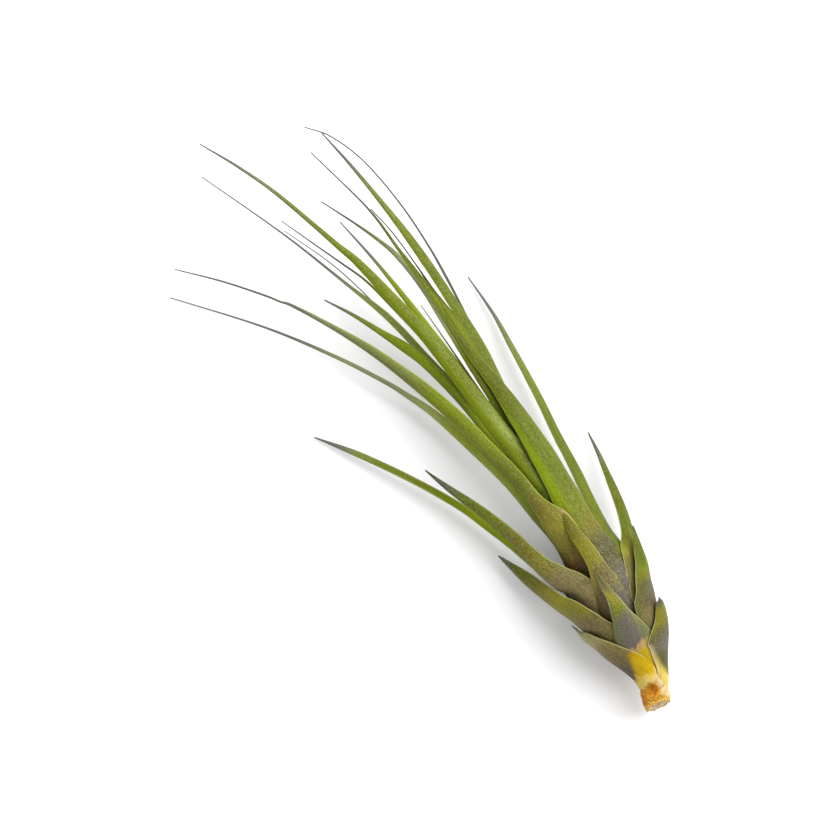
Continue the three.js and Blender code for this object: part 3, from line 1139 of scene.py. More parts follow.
BASE_LEFT = LeafFinish(
    run=(
        (5.8, Hue.CREAM), (8.2, Hue.CREAM), (9.4, Hue.MAROON), (11, Hue.PURPLE_DARK), (15, Hue.TAUPE),
        (19, Hue.FAWN), (22.5, Hue.MARGIN), (25.2, Hue.MARGIN), (27.6, Hue.TIP_GREY),
        (28.8, Hue.TIP_DARK),
    ),
    flank=Hue.BROWN_OLIVE, flank_share=0.3, frost=((4, 0.0), (9, 0.2), (14, 0.6), (26, 0.5)),
    margin_width=0.34, margin_from=12,
    patch=Patch(
        run=((5.8, Hue.CREAM), (7.2, Hue.CREAM), (8.9, Hue.GOLD), (12, Hue.GOLD), (14.6, Hue.GOLD_DEEP)),
        near=(9, 3.0), far=(15, 8.2), right=True, top=15.6, soft=2.2,
    ),
)
DIAMOND = LeafFinish(
    run=(
        (5, Hue.CREAM), (7.6, Hue.CREAM), (9, Hue.GOLD), (13.2, Hue.GOLD), (14.2, Hue.PEACH),
        (15.2, Hue.PEACH), (16.2, Hue.PURPLE_GREY), (23, Hue.PURPLE_GREY), (25.5, Hue.OLIVE),
        (27, Hue.YELLOW_OLIVE), (30, Hue.KHAKI), (31.8, Hue.TAUPE), (34, Hue.EARTH), (37, Hue.EARTH),
    ),
    flank=Hue.GREY_GREEN, flank_share=0.85, flank_from=0.25,
    frost=((5, 0.0), (15, 0.05), (17, 0.3), (22, 0.4), (26, 0.6), (30, 0.5), (37, 0.2)), margin_width=0.3,
    mottle=0.3, margin_from=16,
)
SHORT_RIGHT = LeafFinish(
    run=(
        (10, Hue.PURPLE_GREY), (21, Hue.TAUPE), (23.5, Hue.EARTH), (26.5, Hue.EARTH), (28.4, Hue.MOSS),
        (30.5, Hue.OLIVE), (32.5, Hue.OLIVE_DEEP), (37, Hue.OLIVE_DEEP), (39, Hue.DUSK),
        (40.6, Hue.TIP_DARK),
    ),
    flank=Hue.OLIVE_DEEP, flank_share=0.4,
    frost=((10, 0.7), (24, 0.4), (27.5, 0.08), (36, 0.1), (40, 0.5)),
)
SHORT_LEFT = LeafFinish(
    run=(
        (10, Hue.MAROON), (20, Hue.TAUPE), (27, Hue.TAUPE), (31, Hue.YELLOW_OLIVE), (35, Hue.KHAKI),
        (41, Hue.BROWN_OLIVE), (47, Hue.OLIVE_DEEP), (52, Hue.TIP_GREY), (53.5, Hue.TIP_DARK),
    ),
    flank=Hue.BROWN_OLIVE, frost=((10, 0.6), (28, 0.8), (34, 0.2), (48, 0.3), (53, 0.6)),
    margin_width=0.32,
)
RIGHT_LOW = LeafFinish(
    run=(
        (12, Hue.PURPLE_GREY), (24, Hue.TAUPE), (32, Hue.TAUPE), (35, Hue.KHAKI), (40, Hue.OLIVE_DEEP),
        (46, Hue.OLIVE_DEEP), (56, Hue.OLIVE_DEEP), (62, Hue.TIP_GREY), (66, Hue.TIP_DARK),
    ),
    frost=((12, 0.4), (34, 0.15), (45, 0.1), (58, 0.4), (66, 0.6)), inner=Hue.LIME,
)
UNDERSIDE = LeafFinish(
    run=(
        (8, Hue.MAROON), (18, Hue.PURPLE_GREY), (28, Hue.BROWN_OLIVE), (38, Hue.OLIVE),
        (48, Hue.TIP_DARK),
    ),
    frost=((8, 0.4), (30, 0.7), (48, 0.4)),
)
FRONT_POINTED = LeafFinish(
    run=(
        (14, Hue.PURPLE_GREY), (28, Hue.PURPLE_GREY), (32, Hue.TAUPE), (36.5, Hue.TAUPE),
        (39.5, Hue.YELLOW_OLIVE), (44, Hue.YELLOW_OLIVE), (47.5, Hue.MOSS), (50, Hue.BRONZE),
        (52.6, Hue.BRONZE), (53.6, Hue.DRIED), (54.5, Hue.DRIED_PALE),
    ),
    flank_share=0.2, frost=((14, 0.5), (30, 0.9), (36, 0.8), (42, 0.4), (54, 0.3)), margin_width=0.2,
    patch=Patch(
        run=(
            (24, Hue.EARTH), (28, Hue.TAUPE), (32, Hue.TAUPE), (35.5, Hue.STRAW), (42, Hue.YELLOW_OLIVE),
        ),
        near=(24, -2.6), far=(44, -1.0), right=False, top=47, foot=22,
    ),
)
LEFT_LONG_LOW = LeafFinish(
    run=(
        (14, Hue.TAUPE), (40, Hue.OLIVE), (50, Hue.LIME), (57, Hue.SPROUT), (65, Hue.SPROUT),
        (71, Hue.LIME), (79, Hue.OLIVE_DEEP), (87, Hue.OLIVE_DEEP), (95, Hue.GREY_GREEN),
        (100, Hue.TIP_GREY), (104.3, Hue.TIP_GREY),
    ),
    frost=((14, 0.4), (50, 0.15), (74, 0.05), (90, 0.35), (104, 0.6)), inner=Hue.LIME, mottle=0.35,
    ash=(93, 101),
)
LEFT_PURPLE = LeafFinish(
    run=(
        (16, Hue.TAUPE), (27, Hue.SAND), (33, Hue.SAND), (37, Hue.FAWN), (40, Hue.FAWN),
        (45, Hue.YELLOW_OLIVE), (54, Hue.BROWN_OLIVE), (62, Hue.OLIVE), (70, Hue.FERN),
        (76, Hue.TIP_GREY), (81.5, Hue.TIP_DARK),
    ),
    flank_share=0.45, frost=((16, 0.5), (36, 0.9), (50, 0.7), (66, 0.5), (81, 0.5)), margin_width=0.4,
)
RIGHT_LONG = LeafFinish(
    run=(
        (16, Hue.PURPLE_DARK), (36, Hue.OLIVE_DEEP), (46, Hue.OLIVE), (60, Hue.FERN), (74, Hue.FERN),
        (86, Hue.SOFT_GREEN), (96, Hue.GREY_GREEN), (106, Hue.ASH), (115.3, Hue.TIP_GREY),
    ),
    frost=((16, 0.5), (52, 0.15), (70, 0.3), (95, 0.5), (115, 0.7)), inner=Hue.SOFT_GREEN, mottle=0.4,
    ash=(100, 110),
)
# The very dark umber from 38 to 41.5 is painted shade over the sheath's real purple brown, where it lies
# under the leaf beside it.
LEFT_WIDE = LeafFinish(
    run=(
        (19, Hue.PURPLE_DARK), (38, Hue.SHADED_UMBER), (41.5, Hue.BARK), (45, Hue.BROWN_OLIVE), (50, Hue.KHAKI),
        (57, Hue.BROWN_OLIVE), (66, Hue.FERN), (78, Hue.YELLOW_GREEN), (96, Hue.YELLOW_GREEN),
        (104, Hue.GREY_GREEN), (112, Hue.GREY_GREEN), (128, Hue.SAGE), (137, Hue.ASH), (158.8, Hue.ASH),
    ),
    flank=Hue.YELLOW_GREEN, frost=((19, 0.4), (41, 0.1), (47, 0.5), (70, 0.5), (95, 0.3), (158, 0.2)),
    margin=Hue.MEADOW, margin_width=0.3, ash=(128, 142),
    patch=Patch(
        run=((52, Hue.DRIED_PALE), (58, Hue.DRIED_PALE)),
        near=(53.6, 3.55), far=(58.6, 2.6), right=True, top=57.9, soft=0.4, foot=50,
    ),
)
LEFT_FAR = LeafFinish(
    run=(
        (19, Hue.PURPLE_DARK), (50, Hue.FERN), (62, Hue.MEADOW), (86, Hue.MEADOW), (95, Hue.DEW),
        (104, Hue.HOAR), (116, Hue.HOAR), (128, Hue.ASH), (153.8, Hue.ASH),
    ),
    frost=((19, 0.4), (74, 0.15), (100, 0.3), (153, 0.5)), margin=Hue.MARGIN_GREEN, ash=(114, 134),
)
RIGHT_FRONT = LeafFinish(
    run=(
        (22, Hue.PURPLE_GREY), (32, Hue.PURPLE_GREY), (38, Hue.DUSK), (42, Hue.DUSK),
        (46, Hue.BROWN_OLIVE), (53, Hue.OLIVE), (60, Hue.FERN), (76, Hue.FERN), (84, Hue.OLIVE_DEEP),
        (104, Hue.OLIVE_DEEP), (112, Hue.OLIVE), (128, Hue.OLIVE), (138, Hue.GREY_GREEN),
        (163.2, Hue.ASH),
    ),
    flank=Hue.LIME, flank_share=0.2,
    frost=((22, 0.7), (44, 0.6), (60, 0.4), (80, 0.3), (96, 0.12), (110, 0.25), (163, 0.2)),
    margin=Hue.MARGIN_GREEN, margin_width=0.25, ash=(132, 150),
    patch=Patch(
        run=((50, Hue.OLIVE), (60, Hue.LIME), (80, Hue.LIME)),
        near=(54, -1.6), far=(90, -2.6), right=False, top=98, soft=2.2, foot=49,
    ),
)
# The deep green near 60 is painted shade, where this leaf lies in the dark gap between the leaves beside it.
YELLOW = LeafFinish(
    run=(
        (24, Hue.OLIVE_DEEP), (60, Hue.SHADED_DEEP_GREEN), (70, Hue.SPRING), (82, Hue.SPRING), (90, Hue.FERN),
        (103, Hue.LIME), (116, Hue.LIME), (124, Hue.GREY_GREEN), (131, Hue.TIP_DARK),
    ),
    frost=((24, 0.2), (100, 0.05), (120, 0.2), (131, 0.5)), mottle=0.35, margin=Hue.MARGIN_GREEN,
    ash=(122, 130),
)
RIGHT_WIDE = LeafFinish(
    run=(
        (24, Hue.PURPLE_GREY), (50, Hue.YELLOW_GREEN), (80, Hue.OLIVE), (100, Hue.FERN), (118, Hue.FERN),
        (134, Hue.OLIVE), (150, Hue.GREY_GREEN), (158, Hue.TIP_GREY), (165.5, Hue.TIP_GREY),
    ),
    frost=((24, 0.6), (60, 0.3), (100, 0.4), (165, 0.5)), margin=Hue.MARGIN_GREEN, margin_width=0.3,
    ash=(148, 159),
)
# The deep green from 58 to 66 is painted shade, where this leaf lies in the dark gap between the leaves
# beside it.
CENTRE = LeafFinish(
    run=(
        (27, Hue.OLIVE_DEEP), (58, Hue.SHADED_DEEP_GREEN), (66, Hue.SHADED_DEEP_GREEN), (69, Hue.OLIVE_DEEP),
        (73, Hue.SOFT_GREEN), (77, Hue.FROSTED), (80, Hue.FROSTED), (87, Hue.SOFT_GREEN), (95, Hue.OLIVE),
        (107, Hue.SOFT_GREEN), (122, Hue.OLIVE), (140, Hue.SOFT_GREEN), (154, Hue.GREY_GREEN),
        (164, Hue.SAGE), (180.5, Hue.ASH),
    ),
    flank=Hue.YELLOW_GREEN, flank_share=0.3,
    frost=((27, 0.2), (66, 0.3), (80, 0.75), (110, 0.5), (180, 0.2)), margin=Hue.MARGIN_GREEN,
    margin_width=0.2, mottle=0.4, ash=(163, 177),
    patch=Patch(
        run=((60, Hue.OLIVE), (96, Hue.YELLOW_GREEN), (140, Hue.YELLOW_GREEN)),
        near=(60, -0.1), far=(140, -0.5), right=False, top=150, foot=60,
    ),
)
GREY_GREEN_SKIN = LeafFinish(
    run=(
        (27, Hue.OLIVE_DEEP), (80, Hue.OLIVE), (104, Hue.SOFT_GREEN), (116, Hue.GREY_GREEN),
        (127, Hue.GREY_GREEN), (138, Hue.ASH), (174, Hue.ASH),
    ),
    frost=((27, 0.2), (104, 0.35), (130, 0.6), (174, 0.5)), margin=Hue.MARGIN_GREEN, ash=(122, 138),
)
THREAD = LeafFinish(
    run=((27, Hue.OLIVE_DEEP), (80, Hue.OLIVE), (112, Hue.GREY_GREEN), (122, Hue.ASH), (169.2, Hue.ASH)),
    frost=((27, 0.2), (110, 0.4), (169, 0.4)), margin=Hue.MARGIN_GREEN, margin_width=0.15, ash=(106, 118),
)
# The deep green up to 70 is painted shade, where this leaf lies in the narrow gap between its neighbours.
GAP = LeafFinish(
    run=(
        (30, Hue.SHADED_DEEP_GREEN), (70, Hue.SHADED_DEEP_GREEN), (90, Hue.OLIVE_DEEP), (100, Hue.OLIVE),
        # The pale glint from 114 to 124 is a painted highlight.
        (108, Hue.DEW), (114, Hue.PAINTED_GLINT), (124, Hue.PAINTED_GLINT), (138, Hue.GREY_GREEN), (145, Hue.ASH),
        (151.7, Hue.ASH),
    ),
    frost=((30, 0.1), (110, 0.15), (151, 0.5)), margin=Hue.MARGIN_GREEN, margin_width=0.2, mottle=0.3,
    ash=(136, 146),
)
# In HEART, THIN_RIGHT and HEART_DARK the deep green is painted shade inside the bundle.
HEART = LeafFinish(
    run=(
        (33, Hue.SHADED_DEEP_GREEN), (90, Hue.OLIVE_DEEP), (108, Hue.LIME), (124, Hue.LIME),
        (131, Hue.SOFT_GREEN), (139, Hue.ASH), (153, Hue.ASH),
    ),
    frost=((33, 0.1), (110, 0.1), (150, 0.5)), margin=Hue.MARGIN_GREEN, margin_width=0.2, mottle=0.3,
    ash=(125, 137),
)
THIN_RIGHT = LeafFinish(
    run=(
        (30, Hue.SHADED_DEEP_GREEN), (90, Hue.OLIVE_DEEP), (104, Hue.OLIVE), (117, Hue.OLIVE), (126, Hue.ASH),
        (143, Hue.ASH),
    ),
    frost=((30, 0.1), (110, 0.2), (143, 0.5)), margin=Hue.MARGIN_GREEN, margin_width=0.15, mottle=0.3,
    ash=(117, 127),
)
HEART_DARK = LeafFinish(
    run=((33, Hue.SHADED_DEEP_GREEN), (96, Hue.SHADED_DEEP_GREEN), (108, Hue.OLIVE_DEEP), (116, Hue.TIP_DARK)),
    frost=((33, 0.1), (116, 0.2)), margin=Hue.OLIVE, margin_width=0.15,
)


def lowest_leaves() -> list[Leaf]:
    """Give the short clasping leaves round the foot of the plant.

    Returns:
        The leaves, from the lowest up.
    """
    return [
        Leaf("leaf_base_right", Slot.OUTER, layer=0, keel=10, tip_keel=25,
             sheath=(Clasp(1.8, 30, 0.15), Clasp(3.4, 40, 0.3), Clasp(5.5, 52, 0.4), Clasp(7.7, 59, 0.3),
                     Clasp(10.5, 65), Clasp(12.9, 67), Clasp(14, 67), Clasp(16.3, 51), Clasp(18.3, 36),
                     Clasp(20.3, 20, 0, 7), Clasp(21.4, 9, 0, 12)),
             blade=(Keel(16.7, 22.3, 16.2, 0.6, 8.0),),
             finish=BASE_RIGHT, seed=1.1, strips=30),
        Leaf("leaf_base_left", Slot.OUTER, layer=0, keel=176, tip_keel=165,
             sheath=(Clasp(5.9, 110), Clasp(7, 110), Clasp(8.5, 102), Clasp(10, 93), Clasp(12.2, 82),
                     Clasp(15, 66), Clasp(17, 57), Clasp(19, 48, -0.2), Clasp(21, 40, -0.3),
                     Clasp(24, 29, -0.1)),
             blade=(Keel(-5.0, 26.3, 12.4, 3.6, 3.0), Keel(-5.3, 28.8, 12.8, 0.5)),
             finish=BASE_LEFT, seed=2.3, strips=34),
        Leaf("leaf_diamond", Slot.OUTER, layer=1, keel=90, tip_keel=88,
             sheath=(Clasp(5.2, 84, 0.1, 6), Clasp(8.5, 81, 0, 9), Clasp(12, 68, 0, 22),
                     Clasp(14, 67, 0, 23), Clasp(16.3, 50, 0, 16), Clasp(19, 34, 0, 8),
                     Clasp(21.5, 23, 0, 4), Clasp(24.5, 14, 0, 2)),
             blade=(Keel(6.85, 27.2, 23.5, 3.7, 8.0), Keel(7.05, 30, 23.9, 2.5, 5.0),
                    Keel(7.1, 33, 24.1, 2.0, 3.0), Keel(7.4, 37.0, 24.2, 0.5, 1.5)),
             finish=DIAMOND, seed=3.7, strips=30),
        Leaf("leaf_under_low", Slot.OUTER, layer=1, keel=272, tip_keel=270,
             sheath=(Clasp(7, 62), Clasp(13, 62), Clasp(19, 57), Clasp(24, 46), Clasp(28, 36)),
             blade=(Keel(8.0, 34, 0.1, 8.6, 9.0), Keel(9.2, 41, 0.3, 4.4), Keel(10.4, 48, 0.9, 0.6)),
             finish=UNDERSIDE, seed=4.1, strips=24),
        Leaf("leaf_short_right", Slot.OUTER, layer=2, keel=20, tip_keel=40,
             sheath=(Clasp(10, 62), Clasp(18, 51, 0.3), Clasp(21.8, 49, 0.3), Clasp(24.3, 45, 0.4),
                     Clasp(27, 32, 0.4)),
             blade=(Keel(19.0, 31, 16.3, 7.3, 5.2), Keel(20.15, 35, 16.4, 4.3), Keel(21.0, 38, 16.5, 2.1),
                    Keel(21.7, 40.6, 16.6, 0.5)),
             finish=SHORT_RIGHT, seed=5.9, strips=24),
        Leaf("leaf_short_left", Slot.OUTER, layer=2, keel=168, tip_keel=130,
             sheath=(Clasp(10, 62), Clasp(18, 71), Clasp(23.4, 57, 0.1), Clasp(26, 49, 0.3),
                     Clasp(30, 42, 0.8)),
             blade=(Keel(-6.0, 35, 13.6, 9.2, 6.6), Keel(-7.4, 40, 12.2, 6.4), Keel(-8.6, 45, 10.0, 4.8),
                    Keel(-9.6, 50, 7.4, 2.2), Keel(-10.3, 53.6, 6.0, 0.4)),
             finish=SHORT_LEFT, seed=6.4, strips=24),
        Leaf("leaf_right_low", Slot.OUTER, layer=3, keel=8, tip_keel=60,
             sheath=(Clasp(12, 62), Clasp(18, 58), Clasp(22, 50, -0.1), Clasp(26.2, 49, -0.6),
                     Clasp(29.5, 43.5, -0.6)),
             blade=(Keel(19.0, 35, 13.2, 11.4, 8.6), Keel(20.7, 39.5, 12.5, 6.4),
                    Keel(22.4, 45, 10.8, 4.7), Keel(23.45, 50, 8.6, 3.5), Keel(24.5, 56, 6.2, 2.2),
                    Keel(25.3, 60.5, 4.2, 1.4), Keel(26.0, 66, 1.8, 0.4)),
             finish=RIGHT_LOW, seed=7.7, strips=24),
        Leaf("leaf_under_left", Slot.OUTER, layer=3, keel=232, tip_keel=250,
             sheath=(Clasp(12, 60), Clasp(18, 58), Clasp(26, 50), Clasp(32, 38)),
             blade=(Keel(-0.4, 38, 3.8, 5.8, 6.6), Keel(-1.6, 43, 2.8, 3.2), Keel(-2.4, 47.5, 2.2, 0.5)),
             finish=UNDERSIDE, seed=8.2, strips=24),
        Leaf("leaf_under_right", Slot.OUTER, layer=4, keel=312, tip_keel=290,
             sheath=(Clasp(14, 48), Clasp(22, 46), Clasp(30, 40)),
             blade=(Keel(13.9, 38, 4.8, 6.4, 7.4), Keel(14.0, 45, 3.6, 3.2), Keel(14.0, 52.5, 2.8, 0.5)),
             finish=UNDERSIDE, seed=9.6, strips=24),
    ]


def middle_leaves() -> list[Leaf]:
    """Give the leaves that spread from the upper part of the sheathed base.

    Returns:
        The leaves, from the lowest up.
    """
    return [
        Leaf("leaf_front_pointed", Slot.OUTER, layer=4, keel=92, tip_keel=90,
             sheath=(Clasp(14, 62), Clasp(20, 58), Clasp(26, 40, 0, -1), Clasp(28.5, 35, 0, -2),
                     Clasp(30, 30.5, 0, -2), Clasp(34, 21, 0, -2)),
             blade=(Keel(8.55, 38.4, 23.2, 4.5, 7.0), Keel(8.8, 43, 23.4, 3.8, 4.5),
                    Keel(8.6, 48, 22.9, 2.9, 3.0), Keel(8.95, 52, 22.5, 1.5, 1.8),
                    Keel(9.4, 54.6, 22.1, 0.5, 1.0)),
             finish=FRONT_POINTED, seed=11.3, strips=24),
        Leaf("leaf_left_long_low", Slot.OUTER, layer=4, keel=205, tip_keel=255,
             sheath=(Clasp(14, 46), Clasp(22, 46), Clasp(30, 38), Clasp(38, 26)),
             blade=(Keel(-4.4, 45, 8.2, 3.8), Keel(-6.8, 54, 7.4, 2.9), Keel(-8.8, 61, 6.8, 3.0),
                    Keel(-11.0, 68, 6.0, 2.5), Keel(-14.5, 76, 5.0, 2.2), Keel(-19.4, 85.5, 3.8, 1.9),
                    Keel(-24.9, 95, 2.2, 1.6), Keel(-31.0, 104.3, 0.7, 0.4)),
             finish=LEFT_LONG_LOW, seed=12.8),
        Leaf("leaf_left_purple", Slot.OUTER, layer=5, keel=142, tip_keel=120,
             sheath=(Clasp(16, 56), Clasp(23, 52), Clasp(30, 49, 0.2), Clasp(34.5, 38, 0.5)),
             blade=(Keel(-1.9, 39.5, 18.0, 9.2, 6.2), Keel(-3.8, 45.5, 16.9, 6.3),
                    Keel(-5.1, 55, 14.4, 4.2), Keel(-7.8, 65, 11.9, 3.3), Keel(-11.0, 74.5, 9.6, 1.9),
                    Keel(-13.0, 81.6, 8.2, 0.4)),
             finish=LEFT_PURPLE, seed=13.2, strips=24),
        Leaf("leaf_right_long", Slot.OUTER, layer=5, keel=12, tip_keel=60,
             sheath=(Clasp(16, 45), Clasp(24, 45, 0, -14), Clasp(33, 42, 0, -22), Clasp(38, 38, 0, -12)),
             blade=(Keel(16.6, 44, 10.0, 5.7, 5.6), Keel(17.4, 51, 9.4, 5.4), Keel(18.75, 60, 8.6, 4.7),
                    Keel(19.8, 70, 7.6, 3.6), Keel(21.4, 81, 6.3, 2.9), Keel(22.9, 95, 4.4, 2.0),
                    Keel(23.7, 104, 2.7, 1.15), Keel(23.7, 115.3, 0.9, 0.35)),
             finish=RIGHT_LONG, seed=14.5),
        Leaf("leaf_left_wide", Slot.LEAF, layer=6, keel=106, tip_keel=110,
             sheath=(Clasp(19, 54), Clasp(27, 50, 0, 10), Clasp(36, 46, -0.5, 18),
                     Clasp(44, 45, -1.0, 18)),
             blade=(Keel(6.05, 52, 22.0, 8.1, 6.6), Keel(5.1, 59, 22.2, 4.3, 4.1),
                    Keel(4.5, 68, 21.4, 3.7, 2.8), Keel(3.3, 75, 20.2, 3.6, 2.6),
                    Keel(1.4, 85, 19.2, 4.1, 2.9), Keel(-0.9, 95, 18.2, 3.8, 2.6),
                    Keel(-3.85, 105, 17.0, 3.0), Keel(-7.35, 115, 15.4, 2.2), Keel(-12.3, 126, 13.6, 1.3),
                    Keel(-17.2, 135.4, 11.9, 0.8), Keel(-18.4, 136.8, 11.7, 0.6),
                    Keel(-20.3, 139.8, 11.2, 0.6), Keel(-27.5, 149.5, 9.4, 0.5),
                    Keel(-35.5, 158.8, 8.0, 0.3)),
             finish=LEFT_WIDE, seed=15.1, strips=24, rings=220),
        Leaf("leaf_left_far", Slot.LEAF, layer=6, keel=190, tip_keel=60,
             sheath=(Clasp(19, 40), Clasp(28, 38), Clasp(38, 36, -0.9), Clasp(47, 32, -1.6)),
             blade=(Keel(1.9, 56, 9.8, 6.6), Keel(1.2, 67, 9.2, 6.0), Keel(-0.75, 79, 8.4, 4.8),
                    Keel(-3.5, 92, 7.2, 2.7), Keel(-6.25, 100, 6.2, 1.5), Keel(-8.3, 105, 5.6, 1.2),
                    Keel(-14.75, 117.3, 4.0, 1.0), Keel(-25.0, 133.6, 2.2, 0.6),
                    Keel(-40.5, 153.8, 0.7, 0.3)),
             finish=LEFT_FAR, seed=16.6, rings=200),
    ]


